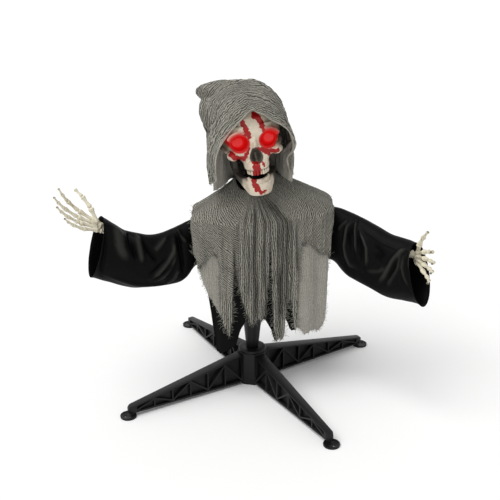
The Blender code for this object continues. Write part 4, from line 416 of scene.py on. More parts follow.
# %% Lamp red
lamp_red, tree, shader = new_finish("lens_red", Roughness=0.22, Specular_IOR_Level=0.4,
                                    Emission_Strength=0.85)
place = own_place(tree, "Object")
facing = add_node(tree, "ShaderNodeLayerWeight", inputs={"Blend": 0.35}).outputs["Facing"]
facets = add_node(tree, "ShaderNodeTexVoronoi", inputs={"Vector": place, "Scale": 420.0})
tree.links.new(blend_colours(tree, facets.outputs["Distance"], colour(150, 6, 8), colour(186, 20, 20)),
               shader.inputs["Base Color"])
tree.links.new(blend_colours(tree, facing, colour(172, 14, 14), colour(150, 4, 6)),
               shader.inputs["Emission Color"])
bump(tree, shader, facets.outputs["Distance"], 0.0004, 0.5)
print("lamp finish made")

# %% [markdown]
# The stand is black moulded plastic with a fine satin grain: it scatters light on its top edges, and
# handling leaves it a little greyer and duller in patches. Metals and the other plastics of the works
# inside share the same grain effect with their own colours.

# %% Moulded grain
GRAIN_DEPTH = 0.00006
grain, given, found = new_effect(
    "moulded grain", [("Place", "Vector", None), ("Dark", "Color", None),
                      ("Worn", "Color", None), ("Gloss", "Float", 0.5)],
    [("Colour", "Color"), ("Roughness", "Float"), ("Height", "Float")])
patches = ramp(grain, speckle(grain, given["Place"], 18.0, 4.0), 0.40, 0.70)
fine = speckle(grain, given["Place"], 900.0, 2.0)
worn_colour = blend_colours(grain, times(grain, patches, 0.5), given["Dark"], given["Worn"])
grain.links.new(worn_colour, found["Colour"])
grain.links.new(plus(grain, given["Gloss"], times(grain, patches, 0.12)), found["Roughness"])
grain.links.new(fine, found["Height"])


def moulded(name, dark, worn, gloss, **fixed):
    material, tree, shader = new_finish(name, **fixed)
    place = own_place(tree, "Object")
    parts = use_effect(tree, grain, Place=place, Dark=dark, Worn=worn, Gloss=gloss)
    tree.links.new(parts["Colour"], shader.inputs["Base Color"])
    tree.links.new(parts["Roughness"], shader.inputs["Roughness"])
    bump(tree, shader, parts["Height"], GRAIN_DEPTH, 0.6)
    return material


finish_of_slot = {
    "black_plastic": moulded("black_moulding", colour(14, 15, 15), colour(24, 25, 25), 0.42,
                             Specular_IOR_Level=0.25),
    "black_steel": moulded("black_enamel", colour(12, 12, 13), colour(22, 22, 22), 0.34, Metallic=0.0,
                           Specular_IOR_Level=0.4),
    "white_plastic": moulded("pale_moulding", colour(196, 194, 186), colour(176, 172, 160), 0.45),
    "steel": moulded("zinc_bright", colour(176, 178, 180), colour(140, 142, 144), 0.32, Metallic=1.0),
    "brass": moulded("machined_brass", colour(196, 160, 88), colour(150, 118, 62), 0.30, Metallic=1.0),
    "board_green": moulded("solder_mask", colour(24, 84, 48), colour(16, 62, 36), 0.40),
    "cell_case": moulded("cell_jacket", colour(52, 54, 60), colour(34, 36, 40), 0.32, Metallic=0.2),
    "bone": bone, "lamp_red": lamp_red, "satin": satin, "gauze": gauze, "gauze_light": gauze_light,
}
# The neck's bush shows through the open mouth, so it is near black there: painted shade of the mouth
bush_in_shade = moulded("smoked_moulding", colour(12, 12, 12), colour(8, 8, 8), 0.60, Specular_IOR_Level=0.1)
for name, obj in nodes.items():
    for index in range(len(obj.material_slots)):
        finish = bush_in_shade if name == "head_bush" else finish_of_slot[slot_of[name]]
        obj.material_slots[index].material = finish
print("finishes on", len(nodes), "solids")

# %% [markdown]
# ## Shared mesh helpers
# Each piece is a plain mesh whose object stays at the origin. Geometry Nodes trees are made in code too:
# their sizes are named inputs, which are set by the socket's identifier, and the result is copied into a
# plain mesh, so that nothing live is left on a finished piece.


# %% Meshes and trees
def new_piece(name, mesh, *materials):
    obj = bpy.data.objects.new(name, mesh)
    bpy.context.scene.collection.objects.link(obj)
    for material in materials:
        mesh.materials.append(material)
    return obj


def settle(obj):
    """The evaluated shape becomes the object's own plain mesh, and its modifiers go."""
    bpy.context.view_layer.update()
    shaped = obj.evaluated_get(bpy.context.evaluated_depsgraph_get())
    mesh = bpy.data.meshes.new_from_object(shaped)
    obj.modifiers.clear()
    obj.data = mesh
    return obj


def modify(obj, kind, **settings):
    modifier = obj.modifiers.new(kind.lower(), kind)
    for key, value in settings.items():
        setattr(modifier, key, value)
    return settle(obj)


def new_tree(name, inputs):
    return new_group("GeometryNodeTree", name, [("Geometry", "Geometry", None)] + inputs,
                     [("Geometry", "Geometry")])


def vector_attribute(tree, name):
    node = add_node(tree, "GeometryNodeInputNamedAttribute", data_type="FLOAT_VECTOR", inputs={"Name": name})
    return node.outputs[0]


def shape_of(tree, source):
    return add_node(tree, "GeometryNodeObjectInfo", inputs={"Object": source}).outputs["Geometry"]


def aligned(tree, vector, **axes):
    node = add_node(tree, "FunctionNodeAlignRotationToVector", inputs={"Vector": vector}, **axes)
    return node.outputs["Rotation"]


def random_vectors(tree, seed, low, high):
    node = add_node(tree, "FunctionNodeRandomValue", data_type="FLOAT_VECTOR",
                    inputs={"Seed": seed, 0: low, 1: high})
    return node.outputs["Value"]


def copies_out(tree, points, shape, turn, scale, given, found):
    """Hand out one real copy of the shape for each point, turned and scaled, in the given finish."""
    placed = add_node(tree, "GeometryNodeInstanceOnPoints",
                      inputs={"Points": points, "Instance": shape, "Rotation": turn, "Scale": scale})
    real = add_node(tree, "GeometryNodeRealizeInstances", inputs={"Geometry": placed.outputs["Instances"]})
    finished = add_node(tree, "GeometryNodeSetMaterial",
                        inputs={"Geometry": real.outputs[0], "Material": given["Finish"]})
    tree.links.new(finished.outputs[0], found["Geometry"])


def grow(obj, tree, **values):
    """Run a tree on an object and keep the result as a plain mesh."""
    modifier = obj.modifiers.new(tree.name, "NODES")
    modifier.node_group = tree
    for item in tree.interface.items_tree:
        key = item.name.replace(" ", "_")
        if item.item_type == "SOCKET" and item.in_out == "INPUT" and key in values:
            modifier[item.identifier] = values[key]
    return settle(obj)


def solids_merged(name, *sources):
    """One mesh from the loose triangles of some solids, with their corners joined."""
    bm = bmesh.new()
    for source in sources:
        bm.from_mesh(nodes[source].data)
    bmesh.ops.remove_doubles(bm, verts=bm.verts, dist=0.00001)
    mesh = bpy.data.meshes.new(name)
    bm.to_mesh(mesh)
    bm.free()
    return mesh


def largest_shell(mesh):
    """Drop every loose shell but the one with the most corners."""
    bm = bmesh.new()
    bm.from_mesh(mesh)
    unseen = set(bm.verts)
    shells = []
    while unseen:
        start = unseen.pop()
        shell = [start]
        queue = [start]
        while queue:
            for edge in queue.pop().link_edges:
                for vert in edge.verts:
                    if vert in unseen:
                        unseen.remove(vert)
                        shell.append(vert)
                        queue.append(vert)
        shells.append(shell)
    shells.sort(key=len)
    for shell in shells[:-1]:
        bmesh.ops.delete(bm, geom=shell, context="VERTS")
    bm.to_mesh(mesh)
    bm.free()


def ease(share):
    share = max(0.0, min(1.0, share))
    return share * share * (3 - 2 * share)


def read_along(table, share):
    """Value at a share along a table of (place, value) pairs."""
    for (start, first), (end, last) in zip(table, table[1:]):
        if share <= end:
            return first + (last - first) * (share - start) / (end - start)
    return table[-1][1]


def curve_at(points, at):
    """The place at a number of steps along a smooth curve through the points."""
    index = max(0, min(int(at), len(points) - 2))
    share = at - index
    start = points[index]
    end = points[index + 1]
    before = points[index - 1] if index else 2 * start - end
    after = points[index + 2] if index + 2 < len(points) else 2 * end - start
    return 0.5 * (2 * start + (end - before) * share
                  + (2 * before - 5 * start + 4 * end - after) * share ** 2
                  + (3 * start - before - 3 * end + after) * share ** 3)


def store(mesh, name, values):
    """A number for each corner, as an attribute that the materials read."""
    layer = mesh.attributes.get(name) or mesh.attributes.new(name, "FLOAT", "POINT")
    layer.data.foreach_set("value", np.asarray(values, dtype=np.float32))


def store_masks(mesh, hollow, glow, paint):
    """The three masks that the bone finishes read; None is nowhere."""
    for name, mask in (("hollow", hollow), ("glow", glow), ("paint", paint)):
        store(mesh, name, np.zeros(len(mesh.vertices)) if mask is None else mask)


def store_vectors(mesh, name, vectors):
    layer = mesh.attributes.new(name, "FLOAT_VECTOR", "POINT")
    layer.data.foreach_set("vector", np.array([tuple(v) for v in vectors], dtype=np.float32).ravel())


def places(mesh):
    found = np.empty(len(mesh.vertices) * 3, dtype=np.float64)
    mesh.vertices.foreach_get("co", found)
    return found.reshape(-1, 3)


def set_places(mesh, found):
    mesh.vertices.foreach_set("co", found.astype(np.float32).ravel())
    mesh.update()


def normals(mesh):
    found = np.empty(len(mesh.vertices) * 3, dtype=np.float64)
    mesh.vertex_normals.foreach_get("vector", found)
    return found.reshape(-1, 3)


def step_up(value, low, high):
    """Smooth step of an array from 0 at low to 1 at high."""
    share = np.clip((value - low) / (high - low), 0.0, 1.0)
    return share * share * (3 - 2 * share)


print("mesh helpers ready")

# %% [markdown]
# ## The stand
# Four ribbed legs plug into an eight-sided hub. The solids already have the ribs, flanges and tabs; a real
# moulding has a small radius on every edge, which catches the light. A copy of each solid gets its
# corners joined, its flat faces dissolved and a narrow bevel, and replaces the solid.

# %% Softened mouldings
STAND_EDGE = 0.0005
STAND_FLAT = math.radians(1.0)
STAND_SHARP = math.radians(28.0)
STAND_CREASE = math.radians(24.0)


def rounded_copy(name, source, width, material):
    """A copy of a solid with its flat faces dissolved and its sharp edges rounded."""
    obj = new_piece(name, solids_merged(name, source), material)
    modify(obj, "DECIMATE", decimate_type="DISSOLVE", angle_limit=STAND_FLAT)
    modify(obj, "BEVEL", width=width, segments=2, limit_method="ANGLE", angle_limit=STAND_SHARP)
    modify(obj, "TRIANGULATE")
    obj.data.shade_smooth()
    return obj


def soften(name):
    obj = rounded_copy(f"{name}_soft", name, STAND_EDGE, finish_of_slot[slot_of[name]])
    obj.data.set_sharp_from_angle(angle=STAND_CREASE)
    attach(obj, "base")
    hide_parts(name)
    return obj


stand = [name for name in nodes if name.startswith(("leg_", "foot_tab_", "hub", "pedestal"))]
for name in stand:
    softened = soften(name)
print("softened", len(stand), "mouldings; the last has", len(softened.data.polygons), "triangles")

# %% [markdown]
# ## The skull
# The skull is one hard moulding: a cranium with deep sockets, cheek arches, a pear-shaped nose and an
# upper row of teeth. The solid has these forms in flat facets. Here its two halves are remeshed into an
# even skin of small faces, smoothed, and then shaped as a sculptor would: each stroke moves the skin near
# one place along one direction, and fades out.

# %% The head's own axes
HEAD_PIVOT = Vector((-0.0030, -0.0180, 0.5430))
HEAD_TURN = (math.radians(1.5), math.radians(-8.3), math.radians(8.0))
head_place = (Matrix.Translation(HEAD_PIVOT) @ Matrix.Rotation(HEAD_TURN[2], 4, "Z")
              @ Euler((HEAD_TURN[0], HEAD_TURN[1], 0.0)).to_matrix().to_4x4())
head_inverse = np.array(head_place.inverted())
head_forward = np.array(head_place)
JAW_PIVOT = Vector((0.0, 0.0020, -0.0100))
jaw_place = (head_place @ Matrix.Translation(JAW_PIVOT) @ Matrix.Rotation(math.radians(10.0), 4, "X")
             @ Matrix.Translation(-JAW_PIVOT))


def turned(found, matrix):
    return found @ matrix[:3, :3].T + matrix[:3, 3]


print("head pivot", tuple(HEAD_PIVOT))


# %% Even skin
def even_skin(name, voxel, rounds, *sources):
    obj = new_piece(name, solids_merged(name, *sources))
    modify(obj, "REMESH", mode="VOXEL", voxel_size=voxel, use_smooth_shade=True)
    largest_shell(obj.data)
    modify(obj, "SMOOTH", factor=0.5, iterations=rounds)
    return obj


SKULL_VOXEL = 0.0013
JAW_VOXEL = 0.0011
HAND_VOXEL = 0.00072
skull = even_skin("skull", SKULL_VOXEL, 7, "skull_face", "skull_back")
print("skull skin", len(skull.data.vertices), "corners")

# %% Strokes on the skull
# Each stroke: middle, reach along the head's three axes, and how far the skin moves; the left side's
# strokes are mirrored from the right.
EYE = np.array((0.0285, -0.0780, 0.0270))
PAIRED_STROKES = (
    ((0.0300, -0.0760, 0.0490), (0.0190, 0.0150, 0.0075), (0.0000, -0.0026, 0.0010)),
    ((0.0590, -0.0330, 0.0330), (0.0160, 0.0240, 0.0260), (-0.0036, 0.0000, 0.0000)),
    ((0.0330, -0.0640, -0.0130), (0.0110, 0.0160, 0.0110), (-0.0034, 0.0042, 0.0000)),
    ((0.0500, -0.0540, 0.0030), (0.0105, 0.0200, 0.0110), (-0.0066, 0.0050, 0.0026)),
    ((0.0270, -0.0740, -0.0230), (0.0080, 0.0140, 0.0100), (-0.0026, 0.0012, 0.0000)),
    ((0.0420, -0.0660, 0.0040), (0.0120, 0.0120, 0.0070), (0.0016, -0.0022, 0.0000)),
    ((0.0180, -0.0740, -0.0120), (0.0070, 0.0120, 0.0100), (0.0000, 0.0016, 0.0000)),
    ((0.0240, -0.0640, 0.0760), (0.0200, 0.0200, 0.0160), (0.0000, -0.0016, 0.0010)),
    ((0.0100, -0.0760, 0.0300), (0.0045, 0.0140, 0.0100), (-0.0012, 0.0000, 0.0000)),
)
MIDDLE_STROKES = (
    ((0.0000, -0.0780, 0.0400), (0.0070, 0.0120, 0.0050), (0.0000, 0.0018, 0.0000)),
    ((0.0000, -0.0780, 0.0160), (0.0050, 0.0120, 0.0070), (0.0000, -0.0024, 0.0000)),
    ((0.0000, -0.0700, -0.0050), (0.0115, 0.0140, 0.0110), (0.0000, 0.0085, 0.0000)),
    ((0.0000, -0.0740, 0.0060), (0.0070, 0.0140, 0.0090), (0.0000, 0.0050, 0.0000)),
)


def stroke(local, middle, reach, move):
    far = np.linalg.norm((local - np.array(middle)) / np.array(reach), axis=1)
    return np.outer(1.0 - step_up(far, 0.0, 1.5), np.array(move))


TOOTH_STEP = 0.0057
ROOT_RIDGE = 0.0005


def raise_roots(local, height, spread):
    """Push the gum out over each tooth's root, in place."""
    roots = np.exp(-((local[:, 2] - height) / spread) ** 2) * (local[:, 1] < -0.050)
    local[:, 1] -= ROOT_RIDGE * roots * (1 + np.cos(2 * math.pi * (local[:, 0] / TOOTH_STEP + 0.5)))


local = turned(places(skull.data), head_inverse)
shift = np.zeros_like(local)
for middle, reach, move in MIDDLE_STROKES:
    shift += stroke(local, middle, reach, move)
for side, hand in SIDES:
    flip = np.array((hand, 1.0, 1.0))
    for middle, reach, move in PAIRED_STROKES:
        shift += stroke(local, np.array(middle) * flip, reach, np.array(move) * flip)
local += shift
raise_roots(local, -0.020, 0.006)
set_places(skull.data, turned(local, head_forward))
print("skull shaped by", len(MIDDLE_STROKES) + 2 * len(PAIRED_STROKES), "strokes")

# %% [markdown]
# The three attributes of the skull are masks. The first mask, painted shade, is near one inside the nose,
# below the cheeks, behind the teeth and under the skull. Glow is painted red lamp light, one in and round
# the eye sockets. Paint is one near the red brush marks. Each mark is a line with widths and a ragged edge:
# they lie on the forehead, the right brow, the bridge of the nose, both cheeks and the lip.

# %% Masks on the skull
def inside(local, middle, reach, soft):
    far = np.linalg.norm((local - np.array(middle)) / np.array(reach), axis=1)
    return 1.0 - step_up(far, 1.0 - soft, 1.0 + soft)


def ragged_edge(local):
    """How far a brush mark's edge wanders at each corner, in metres."""
    coarse = [0.0026 * noise.noise(Vector(spot) * 210) for spot in local]
    fine = [0.0016 * noise.noise(Vector(spot) * 560) for spot in local]
    return np.array(coarse) + np.array(fine)


def near_line(local, points, widths, ragged=0.0):
    """One within a width of a line through points; ragged is how far its edge wanders at each corner."""
    best = np.zeros(len(local))
    for start, end, wide in zip(points, points[1:], widths):
        start = np.array(start)
        end = np.array(end)
        along = np.clip(((local - start) @ (end - start)) / ((end - start) @ (end - start)), 0.0, 1.0)
        away = np.linalg.norm((local - (start + along[:, None] * (end - start))) * (1.0, 0.35, 1.0), axis=1)
        best = np.maximum(best, 1.0 - step_up(away + ragged, 0.75 * wide, 1.15 * wide))
    return best


def brushed(local, marks):
    paint = np.zeros(len(local))
    ragged = ragged_edge(local)
    for points, widths in marks:
        paint = np.maximum(paint, near_line(local, points, widths, ragged))
    return paint


# Each brush mark: the points of its line on the head's axes, and the width of each stretch
PAINT_MARKS = (
    (((-0.0185, -0.064, 0.0760), (-0.0140, -0.068, 0.0580), (-0.0085, -0.074, 0.0400)), (0.0044, 0.0048)),
    (((0.0075, -0.065, 0.0770), (0.0165, -0.068, 0.0670), (0.0190, -0.071, 0.0560)), (0.0062, 0.0055)),
    (((0.0185, -0.071, 0.0560), (0.0200, -0.073, 0.0480)), (0.0036,)),
    (((-0.0460, -0.064, 0.0070), (-0.0370, -0.066, -0.0020), (-0.0270, -0.067, -0.0050)), (0.0060, 0.0068)),
    (((-0.0270, -0.067, -0.0050), (-0.0180, -0.070, 0.0050), (-0.0120, -0.074, 0.0160)), (0.0040, 0.0028)),
    (((0.0140, -0.070, 0.0080), (0.0240, -0.067, 0.0020), (0.0420, -0.067, 0.0010)), (0.0056, 0.0048)),
    (((0.0240, -0.067, 0.0000), (0.0280, -0.066, -0.0080)), (0.0036,)),
    (((-0.0080, -0.074, -0.0130), (-0.0040, -0.077, -0.0190), (-0.0030, -0.078, -0.0330)), (0.0030, 0.0078)),
    (((0.0090, -0.074, -0.0150), (0.0120, -0.075, -0.0210)), (0.0022,)),
    (((0.0040, -0.076, 0.0150), (0.0100, -0.074, 0.0100), (0.0180, -0.071, 0.0060)), (0.0026, 0.0036)),
    (((-0.0330, -0.064, 0.0500), (-0.0250, -0.066, 0.0480), (-0.0140, -0.070, 0.0440)), (0.0026, 0.0034)),
)
rise = np.clip((local[:, 2] + 0.0165) / 0.0370, 0.0, 1.0)
pear = 0.0132 * np.sin(math.pi * rise ** 0.62) ** 0.75
nose_hole = 1.0 - step_up(np.abs(local[:, 0]) - pear, -0.0008, 0.0006)
nose_hole = nose_hole * (local[:, 1] < -0.045) * (rise > 0) * (rise < 1)
septum = np.exp(-(local[:, 0] / 0.0016) ** 2) * (local[:, 2] < 0.002)
# Painted shade, near black, inside the nose, below the cheeks, behind the teeth and under the skull
hollow = nose_hole * (0.90 - 0.25 * septum)
for side, hand in SIDES:
    below_cheek = inside(local, (hand * 0.0370, -0.0560, -0.0170), (0.0115, 0.0240, 0.0105), 0.3)
    hollow = np.maximum(hollow, 0.95 * below_cheek)
hollow = np.maximum(hollow, (local[:, 2] < -0.006) * step_up(local[:, 1], -0.058, -0.048))
hollow = np.maximum(hollow, 0.98 * step_up(-local[:, 2], 0.0258, 0.0285))
# Glow: painted red lamp light in and round each socket, reaching further above the eye
glow = np.zeros(len(local))
for side, hand in SIDES:
    offset = (local - EYE * (hand, 1, 1)) * (1.0, 0.0, 1.0)
    above = step_up(offset[:, 2] + 0.95 * hand * offset[:, 0], 0.002, 0.018)
    away = np.linalg.norm(offset, axis=1)
    fade = (1.0 - step_up(away, 0.0190, 0.0212)) * (1 - above) + (1.0 - step_up(away, 0.0200, 0.0310)) * above
    glow = np.maximum(glow, fade * (local[:, 1] < -0.02))
paint = brushed(local, PAINT_MARKS) * (local[:, 1] < -0.030)
store_masks(skull.data, hollow, glow, paint)
skull.data.materials.append(bone)
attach(skull, "head")
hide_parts("skull_face", "skull_back")
print("skull masks: painted corners", int((paint > 0.5).sum()), "hollow", int((hollow > 0.5).sum()))

# %% [markdown]
# ## The jaw
# The jaw is a horseshoe of bone that hangs open on two pins. It is made as the skull is. Its inner side is
# kept dark, because on the real figure no light reaches the mouth, and two drips of red run over the chin.

# %% Jaw
jaw = even_skin("jaw_bone", JAW_VOXEL, 6, "jaw")
jaw_inverse = np.array(jaw_place.inverted())
jaw_forward = np.array(jaw_place)
local = turned(places(jaw.data), jaw_inverse)
chin = stroke(local, (0.0, -0.0790, -0.0640), (0.0140, 0.0140, 0.0090), (0.0, -0.0022, -0.0008))
groove = stroke(local, (0.0, -0.0820, -0.0520), (0.0260, 0.0120, 0.0045), (0.0, 0.0016, 0.0))
local += chin + groove
for side, hand in SIDES:
    middle = (hand * 0.0200, -0.0740, -0.0640)
    local += stroke(local, middle, (0.0090, 0.0120, 0.0080), (hand * 0.0006, -0.0012, 0.0))
raise_roots(local, -0.047, 0.005)
set_places(jaw.data, turned(local, jaw_forward))
facing = turned(normals(jaw.data), jaw_inverse * np.array([1, 1, 1, 0]))
# Painted shade on the jaw's inner side and towards its back
inward = -(facing[:, 0] * local[:, 0] * 14 + facing[:, 1] * (local[:, 1] + 0.010) * 14)
hollow = step_up(inward, 0.05, 0.45) * 0.95
hollow = np.maximum(hollow, 0.93 * step_up(local[:, 1] + 0.35 * (local[:, 2] + 0.046), -0.054, -0.042))
PAINT_DRIPS = (
    (((-0.0110, -0.064, -0.0500), (-0.0110, -0.066, -0.0590), (-0.0070, -0.068, -0.0700)), (0.0050, 0.0062)),
    (((-0.0070, -0.068, -0.0700), (0.0000, -0.067, -0.0780), (0.0080, -0.066, -0.0760)), (0.0042, 0.0030)),
)
paint = brushed(turned(places(jaw.data), head_inverse), PAINT_DRIPS)
store_masks(jaw.data, hollow, None, paint * (local[:, 1] < -0.04))
jaw.data.materials.append(bone)
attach(jaw, "jaw")
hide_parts("jaw")
print("jaw skin", len(jaw.data.vertices), "corners")

# %% [markdown]
# ## Teeth
# Both rows follow the dental arch, so Geometry Nodes place them: the tree resamples the arch to one point
# for each tooth, turns a tooth to face out of the curve there, and varies its size a little. The tooth
# itself is a small block with rounded corners and a narrower root.

# %% A tooth and its row
ARCH_HALF_WIDTH = 0.0420
ARCH_LENGTH = 0.0840
ARCH_FRONT = 0.0740
ARCH_SHARES = ((0.00, 0.00), (0.26, 0.03), (0.43, 0.13), (0.56, 0.29), (0.71, 0.46))
TOOTH_COUNT = 10
TOOTH_SPREAD = 0.0570


def tooth_mesh():
    """A crown one unit wide, deep and tall, that narrows to its root at the top."""
    bm = bmesh.new()
    bmesh.ops.create_cube(bm, size=1.0)
    bmesh.ops.subdivide_edges(bm, edges=bm.edges[:], cuts=2, use_grid_fill=True)
    for vert in bm.verts:
        rise = vert.co.z + 0.5
        vert.co.x *= 1.0 - 0.30 * rise
        vert.co.y *= 0.72 + 0.20 * rise
    mesh = bpy.data.meshes.new("tooth")
    bm.to_mesh(mesh)
    bm.free()
    obj = new_piece("tooth_pattern", mesh)
    modify(obj, "SUBSURF", levels=1, render_levels=1)
    obj.data.shade_smooth()
    return obj


row, given, found = new_tree("tooth row", [
    ("Tooth", "Object", None), ("Count", "Int", TOOTH_COUNT),
    ("Size", "Vector", (0.0055, 0.0046, 0.0100)), ("Seed", "Int", 3),
    ("Finish", "Material", None)])
to_curve = add_node(row, "GeometryNodeMeshToCurve", inputs={"Mesh": given["Geometry"]})
spots = add_node(row, "GeometryNodeCurveToPoints", mode="COUNT",
                 inputs={"Curve": to_curve.outputs[0], "Count": given["Count"]})
turn = aligned(row, spots.outputs["Tangent"], axis="X", pivot_axis="Z")
vary = random_vectors(row, given["Seed"], (0.90, 0.94, 0.88), (1.06, 1.06, 1.08))
scale = add_node(row, "ShaderNodeVectorMath", operation="MULTIPLY", inputs={0: given["Size"], 1: vary})
copies_out(row, spots.outputs["Points"], shape_of(row, given["Tooth"]), turn, scale.outputs["Vector"],
           given, found)
pattern = tooth_mesh()
print("tooth pattern", len(pattern.data.polygons), "faces")


# %% Two rows
def arch_line(height, forward):
    """Points along the arch, from the right back to the left back, half a tooth inside the spread."""
    side = [Vector((ARCH_HALF_WIDTH * wide, ARCH_LENGTH * long - ARCH_FRONT - forward))
            for wide, long in ARCH_SHARES]
    line = [Vector((-p.x, p.y)) for p in side[:0:-1]] + side
    steps = np.cumsum([0.0] + [(b - a).length for a, b in zip(line, line[1:])])
    reach = TOOTH_SPREAD * (1 - 1 / TOOTH_COUNT) / 2
    samples = np.linspace(steps[-1] / 2 - reach, steps[-1] / 2 + reach, 61)
    xs = np.interp(samples, steps, [p.x for p in line])
    ys = np.interp(samples, steps, [p.y for p in line])
    return [(x, y, height) for x, y in zip(xs, ys)]


def tooth_row(name, height, forward, size, seed, place, upside_down, body):
    points = arch_line(height, forward)
    mesh = bpy.data.meshes.new(name)
    mesh.from_pydata(points, [(i, i + 1) for i in range(len(points) - 1)], [])
    obj = new_piece(name, mesh)
    grow(obj, row, Tooth=pattern, Size=size, Seed=seed, Finish=teeth_bone)
    if upside_down:
        found = places(obj.data)
        found[:, 2] = 2 * height - found[:, 2]
        set_places(obj.data, found)
        obj.data.flip_normals()
    local = places(obj.data)
    root = (height - local[:, 2]) if upside_down else (local[:, 2] - height)
    paint = near_line(local, ((-0.0040, -0.077, -0.0260), (-0.0045, -0.077, -0.0350)), (0.0080,))
    # The teeth darken towards their roots
    store_masks(obj.data, 0.45 * step_up(root, 0.0022, 0.0046), None, paint)
    obj.data.transform(place)
    obj.data.shade_smooth()
    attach(obj, body)
    return obj


upper = tooth_row("teeth_upper", -0.0318, 0.0046, (0.0050, 0.0050, 0.0112), 5, head_place, False, "head")
lower = tooth_row("teeth_lower", -0.0440, 0.0004, (0.0046, 0.0040, 0.0096), 8, jaw_place, True, "jaw")
bpy.data.objects.remove(pattern)
print("teeth", len(upper.data.polygons) + len(lower.data.polygons), "faces")

# %% [markdown]
# ## The eye lamps
# The lenses are the solids' own drums with domed fronts. Their edges are rounded, and they get the red
# finish that glows.

# %% Lamps
LENS_EDGE = 0.0008
for side in ("right", "left"):
    lens_piece = rounded_copy(f"lens_{side}", f"eye_lamp_{side}", LENS_EDGE, lamp_red)
    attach(lens_piece, "head")
    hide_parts(f"eye_lamp_{side}")
print("lamps made")

# %% [markdown]
# ## The hands
# Each hand is a moulded skeleton hand. A digit is a chain of bones, each one thin in the middle with a
# knob at each end, and dark grooves between the knobs. The bones are instances of one lathed bone:
# Geometry Nodes turn it along each bone's direction and stretch it to its length. The wrist bones are a
# cluster of pebbles. The whole is then remeshed, so the pieces flow into each other as in one moulding.

# %% Rods, wrists and digits
SHOULDER_HEIGHT = 0.3780
ROD_START = 0.0725
ARM_OUT = {"right": 0.2980, "left": 0.3170}
ARM_FORWARD = {"right": 0.0770, "left": 0.1120}
ARM_BEND = {"right": 0.0300, "left": 0.0340}
ARM_SHARES = {
    "right": ((0.39, 0.05, -0.13), (0.51, 0.23, -0.57), (0.67, 0.44, -1.00), (0.84, 0.73, -0.53),
              (1.00, 1.00, 0.33)),
    "left": ((0.39, 0.00, 0.35), (0.52, 0.05, 0.62), (0.66, 0.27, 0.32), (0.83, 0.64, -0.24),
             (1.00, 1.00, -1.00)),
}
ROD_STEPS = 12
WRIST_LENGTH = 0.0180
CARPAL_REACH = 0.0185
PALM_HALF_WIDTH = 0.0125
FINGER_LENGTH = 0.1120
DIGIT_SHARES = {
    "thumb": (1.10, (0.27, 0.25, 0.18), 1.06), "index": (1.00, (0.39, 0.26, 0.16, 0.13), 1.00),
    "middle": (0.35, (0.40, 0.29, 0.18, 0.13), 0.98), "ring": (-0.32, (0.37, 0.27, 0.17, 0.13), 0.95),
    "little": (-0.95, (0.32, 0.22, 0.13, 0.12), 0.90),
}
HAND_AIM = {"right": (-60, 20, 54), "left": (10, 19, -2)}
HAND_SPREAD = {"right": {"thumb": 50, "index": 27, "middle": 15, "ring": 8, "little": 0},
               "left": {"thumb": 31, "index": 3, "middle": -4, "ring": -10, "little": -21}}
FINGER_CURL = {"right": (16, 12, 9), "left": (2, 4, 28)}
THUMB_LIFT = {"right": 25, "left": 8}
THUMB_CURL = {"right": -14, "left": -7}
KNUCKLE_RADIUS = 0.0051


def rod_points(side, hand):
    points = [Vector((hand * ROD_START, 0.0, SHOULDER_HEIGHT))]
    for out, forward, rise in ARM_SHARES[side]:
        points.append(Vector((hand * ARM_OUT[side] * out, -ARM_FORWARD[side] * forward,
                              SHOULDER_HEIGHT + ARM_BEND[side] * rise)))
    return points


def rod_route(side, hand, count):
    points = rod_points(side, hand)
    return [curve_at(points, step / (count - 1) * (len(points) - 1)) for step in range(count)]


def wrist_place(side, hand):
    route = rod_route(side, hand, ROD_STEPS)
    ahead = (route[-1] - route[-2]).normalized()
    return route[-1] - ahead * (WRIST_LENGTH / 2), ahead


def hand_axes(side):
    swing, rise, roll = (math.radians(angle) for angle in HAND_AIM[side])
    aim = Vector((math.cos(rise) * math.sin(swing), -math.cos(rise) * math.cos(swing), math.sin(rise)))
    upwards = (Vector((0, 0, 1)) - aim * aim.z).normalized()
    thumb_side = Matrix.Rotation(roll, 3, aim) @ upwards
    palm = thumb_side.cross(aim) if side == "right" else aim.cross(thumb_side)
    return aim, thumb_side, palm


def digit_joints(side, name, heart):
    aim, thumb_side, palm = hand_axes(side)
    start, bones = DIGIT_SHARES[name][:2]
    spread = math.radians(HAND_SPREAD[side][name])
    heading = aim * math.cos(spread) + thumb_side * math.sin(spread)
    curls = FINGER_CURL[side]
    if name == "thumb":
        lift = math.radians(THUMB_LIFT[side])
        heading = heading * math.cos(lift) + palm * math.sin(lift)
        curls = (THUMB_CURL[side], THUMB_CURL[side])
    hinge = heading.cross(palm)
    joints = [heart + thumb_side * (PALM_HALF_WIDTH * start)]
    for curl, bone_share in zip((0,) + curls, bones):
        heading = Matrix.Rotation(math.radians(curl), 3, hinge) @ heading
        joints.append(joints[-1] + heading * (FINGER_LENGTH * bone_share))
    return joints


for side, hand in SIDES:
    print(side, "wrist", tuple(round(x, 4) for x in wrist_place(side, hand)[0]))

# %% One lathed bone and the tree that strings bones along a digit
BONE_PROFILE = ((0.00, 0.24), (0.02, 0.70), (0.07, 0.98), (0.13, 1.04), (0.20, 0.94), (0.32, 0.76),
                (0.50, 0.68), (0.66, 0.72), (0.78, 0.88), (0.86, 1.04), (0.92, 1.06), (0.97, 0.78),
                (1.00, 0.26))
BONE_SIDES = 14


